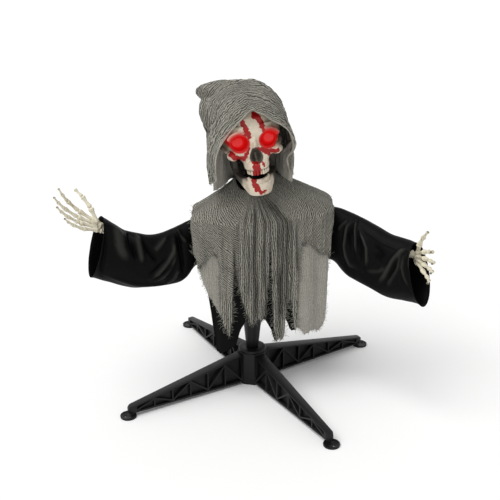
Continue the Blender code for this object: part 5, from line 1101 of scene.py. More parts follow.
def lathed(name, profile, sides):
    """A closed shape turned round Z from (height, radius) pairs, knobs slightly split as on a real bone."""
    bm = bmesh.new()
    rings = []
    for height, radius in profile:
        ring = []
        for index in range(sides):
            angle = 2 * math.pi * index / sides
            knob = max(0.0, radius - 0.6) * 0.22 * math.cos(2 * angle)
            spot = (radius * (1 + knob) * math.cos(angle), radius * math.sin(angle), height)
            ring.append(bm.verts.new(spot))
        rings.append(ring)
    for lower_ring, upper_ring in zip(rings, rings[1:]):
        for index in range(sides):
            after = (index + 1) % sides
            bm.faces.new((lower_ring[index], lower_ring[after], upper_ring[after], upper_ring[index]))
    bm.faces.new(rings[0][::-1])
    bm.faces.new(rings[-1])
    mesh = bpy.data.meshes.new(name)
    bm.to_mesh(mesh)
    bm.free()
    return new_piece(name, mesh)


string, given, found = new_tree("string of bones", [
    ("Bone", "Object", None), ("Finish", "Material", None)])
spots = add_node(string, "GeometryNodeMeshToPoints", inputs={"Mesh": given["Geometry"]})
turn = aligned(string, vector_attribute(string, "aim"), axis="Z")
copies_out(string, spots.outputs[0], shape_of(string, given["Bone"]), turn, vector_attribute(string, "size"),
           given, found)
bone_pattern = lathed("bone_pattern", BONE_PROFILE, BONE_SIDES)
print("bone pattern", len(bone_pattern.data.polygons), "faces")


# %% Both hands
# The wrist's small bones, as shares across the palm and along it
WRIST_PEBBLES = ((0.72, 0.10), (0.24, 0.16), (-0.24, 0.14), (-0.72, 0.06), (0.50, -0.52), (0.0, -0.58),
                 (-0.50, -0.50))


def hand_bones(side, hand):
    """Start, direction and size of every bone of a hand, and the joints between them."""
    wrist, ahead = wrist_place(side, hand)
    heart = wrist + ahead * CARPAL_REACH
    aim, thumb_side = hand_axes(side)[:2]
    bones = []
    grooves = []
    for name in DIGIT_SHARES:
        girth = DIGIT_SHARES[name][2]
        joints = digit_joints(side, name, heart)
        joints[0] = joints[0].lerp(heart, 0.5 if name == "thumb" else 0.25)
        for index, (low, high) in enumerate(zip(joints, joints[1:])):
            along = high - low
            thick = KNUCKLE_RADIUS * girth * (1 - 0.13 * index)
            tip = index == len(joints) - 2
            across, deep = (thick * 0.86, thick * 0.80) if tip else (thick, thick)
            bones.append((low, along, (across, deep, along.length)))
            grooves.append(high)
    for across, reach in WRIST_PEBBLES:
        middle = heart + thumb_side * (PALM_HALF_WIDTH * across) + aim * (0.0080 * reach)
        bones.append((middle - aim * 0.0062, aim, (0.0047, 0.0056, 0.0124)))
    inner = wrist + ahead * 0.0006
    bones.append((inner, ahead, (0.0100, 0.0082, CARPAL_REACH)))
    return bones, grooves, heart


for side, hand in SIDES:
    bones, grooves, heart = hand_bones(side, hand)
    mesh = bpy.data.meshes.new(f"hand_bones_{side}")
    mesh.from_pydata([low for low, along, size in bones], [], [])
    store_vectors(mesh, "aim", [along for low, along, size in bones])
    store_vectors(mesh, "size", [size for low, along, size in bones])
    piece = new_piece(f"hand_bones_{side}", mesh)
    grow(piece, string, Bone=bone_pattern, Finish=hand_bone)
    modify(piece, "REMESH", mode="VOXEL", voxel_size=HAND_VOXEL, use_smooth_shade=True)
    modify(piece, "SMOOTH", factor=0.4, iterations=2)
    found_places = places(piece.data)
    # Dark joints between the knobs, as on the moulding, and a little darker round the heart of the palm
    hollow = np.zeros(len(found_places))
    for joint in grooves:
        away = np.linalg.norm(found_places - np.array(joint), axis=1)
        hollow = np.maximum(hollow, 0.85 * (1.0 - step_up(away, 0.0010, 0.0036)))
    near_heart = np.linalg.norm(found_places - np.array(heart), axis=1)
    hollow = np.maximum(hollow, 0.30 * (1.0 - step_up(near_heart, 0.006, 0.016)))
    store_masks(piece.data, hollow, None, None)
    piece.data.materials.clear()
    piece.data.materials.append(hand_bone)
    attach(piece, f"hand_{side}")
    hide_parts(f"hand_{side}")
    print(piece.name, len(piece.data.polygons), "faces")
bpy.data.objects.remove(bone_pattern)

# %% [markdown]
# ## Cloth
# Every cloth piece is a single sheet: a grid bent into place by a rule, with its UV map in metres. Folds
# and creases move it along its own normal. Its ragged hem is a table of how far down the cloth reaches at
# each place round the figure; cells beyond it are deleted and the last row is pulled onto the line.
# Solidify then gives the sheet its thickness.


# %% A sheet from a rule
def wrinkle(u, v, wide, tall, seed):
    return noise.noise(Vector((u / wide, v / tall, seed)))


def sheet_piece(name, columns, rows, place, outward, crease, material, closed=False, rib_along_rows=False,
                limit=None):
    """Bend a grid by place(across, down); returns the piece, its hem edges and its flat sizes.

    limit(across) is the share of the rows that the cloth keeps, and crease(u, v, across, down) is how
    far the cloth stands out there.
    """
    grid = np.zeros((rows + 1, columns + 1, 3))
    uncut = np.zeros((rows + 1, columns + 1, 3))
    downs = np.zeros((rows + 1, columns + 1))
    beyond = np.zeros((rows + 1, columns + 1), dtype=bool)
    for c in range(columns + 1):
        across = c / columns
        last = limit(across) if limit else 1.0
        for r in range(rows + 1):
            downs[r, c] = min(r / rows, last)
            beyond[r, c] = r / rows > last
            uncut[r, c] = place(across, r / rows)
            grid[r, c] = place(across, downs[r, c]) if beyond[r, c] else uncut[r, c]
    run = np.linalg.norm(np.diff(uncut, axis=0), axis=2)
    v_map = np.vstack([np.zeros((1, columns + 1)), np.cumsum(run, axis=0)])
    for c in range(columns + 1):
        v_map[:, c] = np.interp(downs[:, c] * rows, np.arange(rows + 1), v_map[:, c])
    step_u = np.linalg.norm(np.diff(uncut, axis=1), axis=2)
    spans = step_u.sum(axis=1)
    width = float(spans.max())
    u_line = np.concatenate([[0.0], np.cumsum(step_u[int(np.argmax(spans))])])
    u_map = np.tile(u_line, (rows + 1, 1))
    d_down = np.gradient(grid, axis=0)
    d_across = np.gradient(grid, axis=1)
    facing = np.cross(d_across, d_down)
    length = np.linalg.norm(facing, axis=2, keepdims=True)
    facing = np.divide(facing, length, out=np.zeros_like(facing), where=length > 1e-12)
    out = np.array([[outward(point) for point in line] for line in grid])
    flip = np.where((facing * out).sum(axis=2, keepdims=True) < 0, -1.0, 1.0)
    facing *= flip
    for r in range(rows + 1):
        for c in range(columns + 1):
            push = crease(u_map[r, c], v_map[r, c], c / columns, downs[r, c])
            grid[r, c] += facing[r, c] * push
    bm = bmesh.new()
    uv_layer = bm.loops.layers.uv.new("UVMap")
    verts = [[bm.verts.new(grid[r, c]) for c in range(columns + 1)] for r in range(rows + 1)]
    turned_over = float(flip[rows // 3, columns // 2, 0]) < 0
    for r in range(rows):
        for c in range(columns):
            corners = ((r, c), (r, c + 1), (r + 1, c + 1), (r + 1, c))
            if all(beyond[corner] for corner in corners):
                continue
            if turned_over:
                corners = corners[::-1]
            face = bm.faces.new([verts[a][b] for a, b in corners])
            for loop, (a, b) in zip(face.loops, corners):
                pair = (u_map[a, b], v_map[a, b])
                loop[uv_layer].uv = pair[::-1] if rib_along_rows else pair
    bmesh.ops.delete(bm, geom=[v for v in bm.verts if not v.link_faces], context="VERTS")
    bmesh.ops.remove_doubles(bm, verts=bm.verts, dist=0.00002 if closed else 0.000005)
    bmesh.ops.dissolve_degenerate(bm, edges=bm.edges[:], dist=0.00001)
    hems = []
    for edge in bm.edges:
        if len(edge.link_faces) == 1:
            middle = (edge.verts[0].co + edge.verts[1].co) / 2
            away = middle - edge.link_faces[0].calc_center_median()
            along = (edge.verts[1].co - edge.verts[0].co).normalized()
            away -= along * away.dot(along)
            hems.append((edge.verts[0].co.copy(), edge.verts[1].co.copy(), away.normalized()))
    area = sum(face.calc_area() for face in bm.faces)
    drop = float(v_map.max())
    mesh = bpy.data.meshes.new(name)
    bm.to_mesh(mesh)
    bm.free()
    obj = new_piece(name, mesh, material)
    obj.data.shade_smooth()
    return obj, hems, (width, drop, area)


print("sheet helpers ready")

# %% [markdown]
# The body cloth hangs from the neckline over the shoulders and then straight down. One rule gives every
# layer: turn is the angle round the figure, yoke runs from the neckline to the shoulders' edge, hang is how
# far below that edge a point is, and offset is how far the layer lies outside the robe.

# %% The body cloth's rule
HOUSING_HALF_WIDTH = 0.0600
NECK_SEAT = 0.4701
CHEST_HALF_DEPTH = 0.0620
CHEST_HEIGHT = 0.3880
SHOULDER_OUT = {"right": 0.0580, "left": 0.0980}
SHOULDER_RISE = {"right": 0.0130, "left": 0.0330}
CHEST_RISE = 0.0100
NECKLINE_RADIUS = 0.0320
NECKLINE_TILT = 0.0080
NECKLINE_DIP = 0.0240
CORNER_SHARE = 0.27
YOKE_CURVE = {"right": 2.0, "left": 1.5}
FOLD_DEPTH = 0.0045
FOLD_COUNT = 11
FOLD_START = 0.1500
HEM_FLARE = 0.0120
ROBE_DROP = 0.3000
CAPE_DROP = 0.2700
LINING_DROP = 0.2350
LAYER_STEP = 0.0027
SEAM_GAP = 0.0006
CLOTH_THICKNESS = 0.0007
LIGHT_THICKNESS = 0.0005
HOOD_THICKNESS = 0.0009
DOUBLED_GAUZE = 0.92


def body_cloth_place(turn, back, yoke, hang, offset):
    side = "left" if turn >= 0 else "right"
    across = math.sin(turn)
    straight = abs(math.cos(turn)) if abs(across) < 1 else 0.0
    facing = 1 if back else -1
    half_width = HOUSING_HALF_WIDTH + SHOULDER_OUT[side] + offset
    half_depth = CHEST_HALF_DEPTH + offset
    shoulder = CHEST_HEIGHT + (SHOULDER_RISE[side] - CHEST_RISE) * across ** 2
    edge = Vector((half_width * across, facing * max(half_depth * straight ** CORNER_SHARE, SEAM_GAP / 2),
                   shoulder + offset / 2))
    neck_radius = NECKLINE_RADIUS + offset / 3
    dip = 0.0 if back else NECKLINE_DIP * straight
    neck = Vector((neck_radius * across, facing * max(neck_radius * straight, SEAM_GAP / 2),
                   NECK_SEAT + NECKLINE_TILT * across + offset - dip))
    point = neck.lerp(edge, math.sin(yoke * math.pi / 2))
    point.z = edge.z + (neck.z - edge.z) * (1 - yoke) ** YOKE_CURVE[side] - hang
    fold = FOLD_DEPTH * math.sin(FOLD_COUNT * turn) * ease(hang / FOLD_START) * straight ** 0.5
    flare = HEM_FLARE * hang / ROBE_DROP * straight
    return point + Vector((across, facing * straight, 0.0)) * (fold + flare)


def from_pole(point):
    return (point[0], point[1] * 2.2, 0.4 * (point[2] - 0.2))


YOKE_SHARE = 0.30
print("yoke takes", YOKE_SHARE, "of the rows")

# %% Ragged hems, as (place round the figure, share of the drop)
CAPE_FRONT_HEM = (
    (0.00, 0.02), (0.023, 0.06), (0.058, 0.22), (0.112, 0.29), (0.174, 0.36), (0.233, 0.30), (0.296, 0.24),
    (0.318, 0.27), (0.325, 0.36), (0.330, 0.52), (0.339, 0.69), (0.350, 0.80), (0.372, 0.86), (0.387, 0.90),
    (0.397, 0.77), (0.400, 0.60), (0.402, 0.40), (0.407, 0.26), (0.416, 0.39), (0.436, 0.55), (0.454, 0.65),
    (0.471, 0.73), (0.498, 0.80), (0.512, 0.76), (0.54, 0.76), (0.551, 0.70), (0.557, 0.54), (0.560, 0.42),
    (0.563, 0.30), (0.566, 0.19), (0.572, 0.19), (0.575, 0.40), (0.577, 0.60), (0.581, 0.82), (0.590, 0.95),
    (0.618, 0.95), (0.630, 0.90), (0.634, 0.74), (0.646, 0.66), (0.660, 0.62), (0.667, 0.72), (0.672, 0.86),
    (0.679, 0.89), (0.685, 0.62), (0.691, 0.36), (0.700, 0.24), (0.712, 0.17), (0.76, 0.21), (0.804, 0.27),
    (0.85, 0.30), (0.893, 0.33), (0.908, 0.20), (0.925, 0.12), (0.96, 0.05), (1.00, 0.02))
CAPE_BACK_HEM = (
    (0.00, 0.02), (0.06, 0.02), (0.09, 0.36), (0.15, 0.52), (0.21, 0.70), (0.235, 0.58), (0.25, 0.52),
    (0.29, 0.78), (0.34, 0.96), (0.38, 0.98), (0.40, 0.62), (0.43, 0.58), (0.46, 0.80), (0.50, 0.93),
    (0.54, 0.86), (0.565, 0.50), (0.58, 0.56), (0.61, 0.90), (0.66, 0.98), (0.69, 0.70), (0.71, 0.50),
    (0.75, 0.62), (0.80, 0.66), (0.85, 0.46), (0.89, 0.38), (0.94, 0.02), (1.00, 0.02))
ROBE_FRONT_HEM = (
    (0.00, 0.01), (0.18, 0.01), (0.22, 0.46), (0.27, 0.82), (0.293, 0.95), (0.33, 0.96), (0.373, 0.93),
    (0.412, 0.89), (0.438, 0.77), (0.465, 0.70), (0.52, 0.65), (0.55, 0.69), (0.575, 0.77), (0.591, 0.87),
    (0.606, 0.78), (0.64, 0.70), (0.66, 0.79), (0.685, 0.80), (0.70, 0.62), (0.76, 0.48), (0.79, 0.38),
    (0.82, 0.01), (1.00, 0.01))
ROBE_BACK_HEM = (
    (0.00, 0.01), (0.18, 0.01), (0.21, 0.56), (0.28, 0.76), (0.36, 0.93), (0.40, 0.82), (0.43, 0.70),
    (0.50, 0.86), (0.57, 0.96), (0.62, 0.84), (0.68, 0.70), (0.74, 0.60), (0.79, 0.48), (0.82, 0.01),
    (1.00, 0.01))


def body_panel(name, back, hem, drop, offset, columns, rows, crease, material, ragged):
    """Front or back of one layer: a yoke, then a hanging part down to the ragged hem."""

    def place(across, down):
        yoke = min(1.0, down / YOKE_SHARE)
        hang = max(0.0, down - YOKE_SHARE) / (1 - YOKE_SHARE) * drop
        return body_cloth_place(math.pi * (across - 0.5), back, yoke, hang, offset)

    def limit(across):
        torn = ragged * wrinkle(across, 0.0, 0.012, 1.0, offset * 500 + back)
        torn += 0.6 * ragged * wrinkle(across, 0.0, 0.004, 1.0, offset * 700 + back)
        share = max(0.008, read_along(hem, across) + torn * ease(read_along(hem, across) * 8))
        return YOKE_SHARE + (1 - YOKE_SHARE) * min(1.0, share)

    return sheet_piece(name, columns, rows, place, from_pole, crease, material, limit=limit)


def declare_sheet(obj, sizes, thickness):
    width, drop, area = sizes
    modify(obj, "SOLIDIFY", thickness=thickness, offset=0.0, use_even_offset=False, use_rim=True)
    length = max(drop, area / width * 1.002)
    print(obj.name, "flat", round(width, 3), "x", round(length, 3), "area", round(area, 4),
          "triangles", 2 * len(obj.data.polygons))


# %% [markdown]
# ### The black robe
# Two satin panels hang from the wire hanger over the housing. Their folds are soft and few. They only
# show below the grey cape, as pointed black tails.

# %% Robe
def robe_crease(u, v, across, down):
    soft = wrinkle(u, v, 0.030, 0.16, 4.1) * 0.0022 + wrinkle(u, v, 0.013, 0.06, 7.7) * 0.0007
    return soft * ease((down - 0.25) * 3)


for label, back, hem in (("robe_front", False, ROBE_FRONT_HEM), ("robe_back", True, ROBE_BACK_HEM)):
    piece, hems, sizes = body_panel(f"{label}_satin", back, hem, ROBE_DROP, 0.0, 120, 110, robe_crease, satin,
                                    0.012)
    declare_sheet(piece, sizes, CLOTH_THICKNESS)
    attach(piece, "torso")
    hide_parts(label)

# %% [markdown]
# ### Light gauze panels
# A panel of paler, thinner gauze hangs at each side between the robe and the cape. Nothing lies behind its
# lower half, so it looks almost white where the room shows through it.

# %% Light panels
LINING_EDGES = {"right": (-10 / 28, -4 / 28), "left": (4.9 / 28, 11 / 28)}
LINING_HEM = {
    "right": ((0.0, 0.38), (0.05, 0.41), (0.27, 0.53), (0.49, 0.69), (0.72, 0.79), (0.92, 0.85), (1.0, 0.86)),
    "left": ((0.0, 0.98), (0.10, 1.01), (0.20, 1.07), (0.35, 1.04), (0.50, 1.06), (0.70, 1.09), (0.82, 1.05),
             (0.90, 1.00), (0.95, 0.90), (0.975, 0.63), (1.0, 0.52)),
}
LINING_REACH = 1.10
frayed = []
for side, (first, last) in LINING_EDGES.items():

    def lining_place(across, down, first=first, last=last):
        turn = math.pi * (first + (last - first) * across)
        return body_cloth_place(turn, False, 1.0, 0.002 + down * LINING_REACH * LINING_DROP, LAYER_STEP)

    def lining_limit(across, side=side):
        torn = 0.02 * wrinkle(across, 0.0, 0.05, 1.0, 3.3)
        return (read_along(LINING_HEM[side], across) + torn) / LINING_REACH

    def lining_crease(u, v, across, down):
        hang = 0.0026 * wrinkle(u, v, 0.016, 0.14, 2.2) + 0.0012 * abs(wrinkle(u, v, 0.009, 0.05, 5.2))
        return hang * ease(down * 4) + 0.0004 * wrinkle(u, v, 0.004, 0.009, 8.2)

    piece, hems, sizes = sheet_piece(f"lining_{side}_gauze", 44, 120, lining_place, from_pole, lining_crease,
                                     gauze_light, limit=lining_limit)
    declare_sheet(piece, sizes, LIGHT_THICKNESS)
    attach(piece, "torso")
    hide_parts(f"lining_{side}")
    frayed.append((f"fray_lining_{side}", hems, "torso", "gauze_light", 0.004, 5))

# %% [markdown]
# ### The cape
# Grey gauze over everything, in a front and a back half. It is torn into long tails with slits between
# them. Its threads follow the drape: they fan out from the neck over the shoulders, and then hang. Narrow
# folds run down the tails, and the whole surface is finely crumpled.

# %% Cape
def ribs(place, along, pitch, waver, seed):
    """Height of crinkled ribs, -1 to 1, with a slow wander and gaps where the crinkle is pulled flat."""
    phase = place / pitch + waver * noise.noise(Vector((place / 0.020, along / 0.035, seed)))
    flat = 0.55 + 0.45 * noise.noise(Vector((place / 0.012, along / 0.030, seed + 5)))
    return math.sin(2 * math.pi * phase) * flat


def ridged(u, v, wide, tall, seed):
    """Narrow, sharp crests with soft valleys, 0 to 1."""
    return max(0.0, 1 - 2.2 * abs(wrinkle(u, v, wide, tall, seed))) ** 2


# Long creases down the front: place across, width, depth, and the rows where they start and end
CAPE_CREASES = (
    (0.462, 0.0040, 0.0050, 0.05, 0.75), (0.432, 0.0035, 0.0035, 0.20, 0.60),
    (0.520, 0.0030, 0.0045, 0.05, 0.95), (0.503, 0.0025, 0.0030, 0.30, 0.90),
    (0.548, 0.0028, 0.0035, 0.02, 0.50), (0.590, 0.0030, 0.0040, 0.02, 0.60),
    (0.612, 0.0026, 0.0050, 0.02, 0.80), (0.636, 0.0036, 0.0050, 0.05, 0.75),
    (0.660, 0.0028, 0.0035, 0.20, 0.70), (0.352, 0.0040, 0.0040, 0.30, 1.00),
    (0.372, 0.0030, 0.0030, 0.40, 1.00), (0.480, 0.0026, 0.0028, 0.40, 1.00),
    (0.600, 0.0024, 0.0030, 0.50, 1.00), (0.690, 0.0030, 0.0040, 0.25, 0.55))


def crease_depth(u, v, across, down, width_of_cloth):
    found = 0.0
    for at, wide, deep, first, last in CAPE_CREASES:
        away = abs(across - at + 0.006 * wrinkle(u, v, 1.0, 0.050, at * 90)) * width_of_cloth
        if away < 3 * wide:
            depth = deep * math.exp(-(away / wide) ** 2)
            found += depth * ease((down - first) * 8) * ease((last - down) * 8 + 1)
    return found


def lean_shares(across, down):
    """How far the ribs lean to the left and to the right at a place on the cape."""
    torn = 0.03 * wrinkle(across, down, 0.05, 0.10, 4.4)
    left = ease((0.40 - across + torn) * 22) * ease((0.72 - down) * 9)
    right = ease((across - 0.66 + torn) * 22) * ease((0.80 - down) * 9)
    return left, right


def cape_crease(u, v, across, down):
    tails = ease((down - 0.18) * 3)
    folds = ridged(u, v, 0.020, 0.22, 1.7) * 0.0034 + wrinkle(u, v, 0.030, 0.10, 9.1) * 0.0026
    crumple = wrinkle(u, v, 0.0060, 0.012, 6.3) * 0.0008
    left = lean_shares(across, down)[0]
    lean = math.radians(LEFT_LEAN)
    leaned_u = u * math.cos(lean) - v * math.sin(lean)
    leaned_v = u * math.sin(lean) + v * math.cos(lean)
    rib = ribs(u, v, 0.0062, 0.8, 2.1) * (1 - left) + ribs(leaned_u, leaned_v, 0.0066, 0.9, 3.1) * left
    rise = folds * (0.40 + 0.60 * tails) + crumple + 0.00024 * rib
    lowest = -0.0060 + 0.0052 * ease((abs(across - 0.505) - 0.115) * 30)
    return max(rise - crease_depth(u, v, across, down, 0.40), lowest) + 0.0008


CAPE_PANELS = (("cape_front", False, CAPE_FRONT_HEM, 330), ("cape_back", True, CAPE_BACK_HEM, 230))
for label, back, hem, columns in CAPE_PANELS:
    piece, hems, sizes = body_panel(f"{label}_gauze", back, hem, CAPE_DROP, 2 * LAYER_STEP, columns, 180,
                                    cape_crease, gauze, 0.024)
    spots = np.array([uv.vector for uv in piece.data.uv_layers[0].uv])
    by_corner = np.zeros((len(piece.data.vertices), 2))
    by_corner[[loop.vertex_index for loop in piece.data.loops]] = spots
    shares = [lean_shares(u / sizes[0], v / sizes[1]) for u, v in by_corner]
    store(piece.data, "lean_left", [left for left, right in shares])
    store(piece.data, "lean_right", [right for left, right in shares])
    # Painted shade along the long creases, as deep as each crease
    crease_shades = [crease_depth(u, v, u / sizes[0], v / sizes[1], sizes[0]) / 0.005 for u, v in by_corner]
    store(piece.data, "deep", [min(0.75, deep * 0.9) for deep in crease_shades])
    declare_sheet(piece, sizes, CLOTH_THICKNESS)
    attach(piece, "torso")
    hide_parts(label)
    frayed.append((f"fray_{label}", hems, "torso", "gauze", 0.0075, 11 if back else 7))

# %% [markdown]
# The cape's neck rises behind the head as a soft collar of the same gauze, which closes the gap between
# the hood and the shoulders. It is half a funnel round the back of the neck, so that the jaw stays free.

# %% Collar
COLLAR_TURN = math.radians(84)
COLLAR_LOW = (0.0400, 0.4660)
COLLAR_HIGH = (0.0660, 0.5060)


def collar_place(across, down):
    turn = COLLAR_TURN * (2 * across - 1)
    radius = COLLAR_HIGH[0] + (COLLAR_LOW[0] - COLLAR_HIGH[0]) * down ** 1.3
    height = COLLAR_HIGH[1] + (COLLAR_LOW[1] - COLLAR_HIGH[1]) * down
    droop = 0.012 * ease(abs(2 * across - 1) * 2 - 1)
    return Vector((radius * math.sin(turn), 0.004 + radius * math.cos(turn), height - droop * (1 - down)))


def collar_crease(u, v, across, down):
    return 0.0024 * wrinkle(u, v, 0.016, 0.05, 3.7) + 0.0007 * wrinkle(u, v, 0.006, 0.01, 1.2)


collar, hems, sizes = sheet_piece("collar_gauze", 120, 30, collar_place, lambda spot: (spot[0], spot[1], 0.0),
                                  collar_crease, gauze)
store(collar.data, "doubled", [DOUBLED_GAUZE] * len(collar.data.vertices))
declare_sheet(collar, sizes, CLOTH_THICKNESS)
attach(collar, "torso")
frayed.append(("fray_collar", hems, "torso", "gauze", 0.0040, 23))

# %% [markdown]
# ### The hood
# An arch of the same gauze over the face, run back over the skull to a seam behind. Its rim is folded over
# with a painted highlight along the fold, its crown slumps to the figure's right into a floppy corner, and
# its ribs run parallel to the rim. Stations from the rim to the seam give its half widths and heights, and a
# smooth curve joins them.

# %% Hood
HOOD_HALF_WIDTH = 0.0920
HOOD_FRONT = 0.1000
HOOD_BACK = 0.0880
HOOD_HEM_DROP = 0.0700
HOOD_HEM_TILT = 0.0110
HOOD_CROWN = 0.1210
# Each station: how far back its crown and its hem are, its right and left half widths, its height and how
# far it leans aside
HOOD_SHARES = [Vector(row_shares) for row_shares in (
    (0.00, 0.24, 0.80, 0.86, 0.82, 0.03), (0.18, 0.38, 0.95, 0.94, 0.94, 0.07),
    (0.53, 0.57, 1.00, 0.91, 1.00, 0.11), (0.77, 0.75, 1.00, 0.83, 0.95, 0.20),
    (0.95, 0.91, 0.80, 0.59, 0.82, 0.20), (1.00, 0.99, 0.00, 0.00, 0.70, 0.12))]
HOOD_SLUMP = {"right": 0.30, "left": -0.10}
# The floppy corner is two bulges; each has a middle and a reach across, and the same from front to back
CORNER_BULGES = ((0.35, 0.17, 0.60, 0.32), (0.42, 0.10, 0.62, 0.26))
BULGE_DEPTH = 0.026


def hood_place(across, back):
    station = curve_at(HOOD_SHARES, back * (len(HOOD_SHARES) - 1))
    crown_at, hem_at, right, left, crown, sideways = (max(0.0, share) for share in station)
    angle = math.pi * across
    lift = math.sin(angle)
    low = (1 - lift) ** 1.5
    side, wide = ("right", right) if across < 0.5 else ("left", left)
    rounded = abs(math.cos(angle)) ** 0.70 * (1 - 0.07 * low)
    reach = math.copysign(HOOD_HALF_WIDTH * wide * rounded, across - 0.5)
    corner = 0.0
    for at, reach_across, behind, reach_back in CORNER_BULGES:
        away = ((across - at) / reach_across) ** 2 + ((back - behind) / reach_back) ** 2
        corner += BULGE_DEPTH * ease(1 - away)
    hem_height = HEAD_PIVOT.z - HOOD_HEM_DROP + HOOD_HEM_TILT * reach / HOOD_HALF_WIDTH
    height = HEAD_PIVOT.z + HOOD_CROWN - (1 - crown) * (HOOD_CROWN + HOOD_HEM_DROP) - hem_height
    arch = max(0.0, lift) ** (1.06 + HOOD_SLUMP[side] * wide)
    along = crown_at + (hem_at - crown_at) * low
    return Vector((reach - HOOD_HALF_WIDTH * sideways * lift - corner,
                   (HOOD_FRONT + HOOD_BACK) * along - HOOD_FRONT, hem_height + height * arch))


def from_head(point):
    return (point[0], point[1], point[2] - 0.545)


# The rim as it hangs over the face, from the figure's right hem over the brow to its left hem
RIM_POINTS = [Vector(spot) for spot in (
    (-0.081, -0.055, 0.473), (-0.071, -0.066, 0.482), (-0.071, -0.079, 0.510), (-0.068, -0.088, 0.540),
    (-0.057, -0.093, 0.566), (-0.039, -0.097, 0.591), (-0.020, -0.100, 0.613), (-0.002, -0.101, 0.631),
    (0.009, -0.101, 0.626), (0.020, -0.100, 0.622), (0.034, -0.099, 0.612), (0.056, -0.095, 0.600),
    (0.069, -0.089, 0.587), (0.077, -0.084, 0.565), (0.077, -0.075, 0.545), (0.067, -0.068, 0.528),
    (0.070, -0.060, 0.508), (0.075, -0.045, 0.488))]
RIM_REACH = 0.26
FACING_SHARE = 0.06
FACING_DEPTH = 0.0030


def shares_along(points):
    steps = np.cumsum([0.0] + [(b - a).length for a, b in zip(points, points[1:])])
    return steps / steps[-1]


rim_shares = shares_along(RIM_POINTS)
plain_rim = [hood_place(step / 100, 0.0) for step in range(101)]
plain_shares = shares_along(plain_rim)


def hood_fold_place(across, share):
    """The hood's cloth from its turned-in facing, over the rim's fold, to the seam behind."""
    inner = max(0.0, 1 - share / FACING_SHARE)
    back = max(0.0, share - FACING_SHARE) / (1 - FACING_SHARE) + 0.05 * inner
    at = float(np.interp(across * 100, range(101), plain_shares))
    target = curve_at(RIM_POINTS, float(np.interp(at, rim_shares, range(len(RIM_POINTS)))))
    pull = (target - hood_place(across, 0.0)) * (1 - ease(back / RIM_REACH))
    spot = hood_place(across, back) + pull
    inward = -Vector(from_head(spot)).normalized()
    return spot + inward * (FACING_DEPTH * ease(inner * 2.5))


def hood_crease(u, v, across, share):
    back = max(0.0, share - FACING_SHARE) / (1 - FACING_SHARE)
    outer = ease(back * 25)
    bands = ridged(u, v, 0.130, 0.020, 2.5) * 0.0042 + wrinkle(u, v, 0.055, 0.030, 8.8) * 0.0026 - 0.0022
    bands += ridged(u, v, 0.060, 0.011, 12.5) * 0.0020
    bands -= 0.0010 * math.sin(math.pi * across) ** 6 * ease(back * 3)
    crumple = wrinkle(u, v, 0.012, 0.0055, 3.9) * 0.0009
    return (bands + crumple + 0.0004 * ribs(v, u, 0.0060, 1.1, 7.4) + 0.0006) * outer


hood, hems, sizes = sheet_piece("hood_gauze", 240, 170, hood_fold_place, from_head, hood_crease, gauze,
                                closed=True, rib_along_rows=True)
store(hood.data, "doubled", [DOUBLED_GAUZE] * len(hood.data.vertices))
found_places = places(hood.data)
# Painted red lamp light on the hood round the eyes
glow = np.zeros(len(found_places))
for side, hand in SIDES:
    eye = np.array(head_place @ Vector((hand * 0.0285, -0.080, 0.027)))
    away = np.linalg.norm((found_places - eye) * (1.0, 0.8, 1.0), axis=1)
    glow = np.maximum(glow, 0.55 * (1.0 - step_up(away, 0.022, 0.040)))
store(hood.data, "glow", glow * (found_places[:, 1] < -0.055))
# A painted highlight along the fold of the rim
rim_highlight = np.zeros(len(found_places))
rim_line = np.array([hood_fold_place(step / 200, FACING_SHARE + 0.008) for step in range(201)])
for index in range(len(found_places)):
    if found_places[index, 1] < -0.03:
        away = np.abs(rim_line - found_places[index]).sum(axis=1).min()
        rim_highlight[index] = 1.0 - min(1.0, away / 0.005)
store(hood.data, "edge", rim_highlight * 0.55)
declare_sheet(hood, sizes, HOOD_THICKNESS)
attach(hood, "head")
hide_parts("hood")
frayed.append(("fray_hood", hems, "head", "gauze", 0.004, 17))

# %% [markdown]
# Inside the rim the hood's gauze turns back beside the jaw, and nearly closes the gap between the jaw and the
# hood. Each flap is a narrow upright strip that starts just behind the rim and curves in behind the jaw. It
# has the paler gauze finish as painted light, because it hangs in the hood's shade.

# %% Flaps
FLAP_LINES = {
    "right": [Vector(spot) for spot in ((-0.078, -0.050, 0.0), (-0.070, -0.046, 0.0), (-0.059, -0.030, 0.0),
                                        (-0.048, 0.006, 0.0), (-0.032, 0.028, 0.0))],
    "left": [Vector(spot) for spot in ((0.079, -0.052, 0.0), (0.071, -0.044, 0.0), (0.061, -0.026, 0.0),
                                       (0.050, 0.008, 0.0), (0.034, 0.030, 0.0))],
}
FLAP_HEIGHTS = {"right": (0.4570, 0.5580), "left": (0.4760, 0.5600)}
FLAP_SLOPE = 0.044
for side, (low, high) in FLAP_HEIGHTS.items():

    def flap_place(across, down, line=FLAP_LINES[side], low=low, high=high):
        spot = curve_at(line, across * (len(line) - 1))
        top = high - FLAP_SLOPE * ease(across * 1.1)
        return Vector((spot.x, spot.y, top + (low + 0.006 * across - top) * down))

    def flap_crease(u, v, across, down):
        return 0.0024 * wrinkle(u, v, 0.012, 0.05, 4.7) + 0.0007 * wrinkle(u, v, 0.005, 0.010, 8.2)

    # The flaps are the hood's grey gauze; the paler finish is painted light, because they hang in the hood's
    # shade
    flap, hems, sizes = sheet_piece(f"flap_{side}_gauze", 60, 70, flap_place, lambda spot: (0.0, -1.0, 0.0),
                                    flap_crease, gauze_light)
    store(flap.data, "doubled", [DOUBLED_GAUZE] * len(flap.data.vertices))
    declare_sheet(flap, sizes, CLOTH_THICKNESS)
    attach(flap, "head")

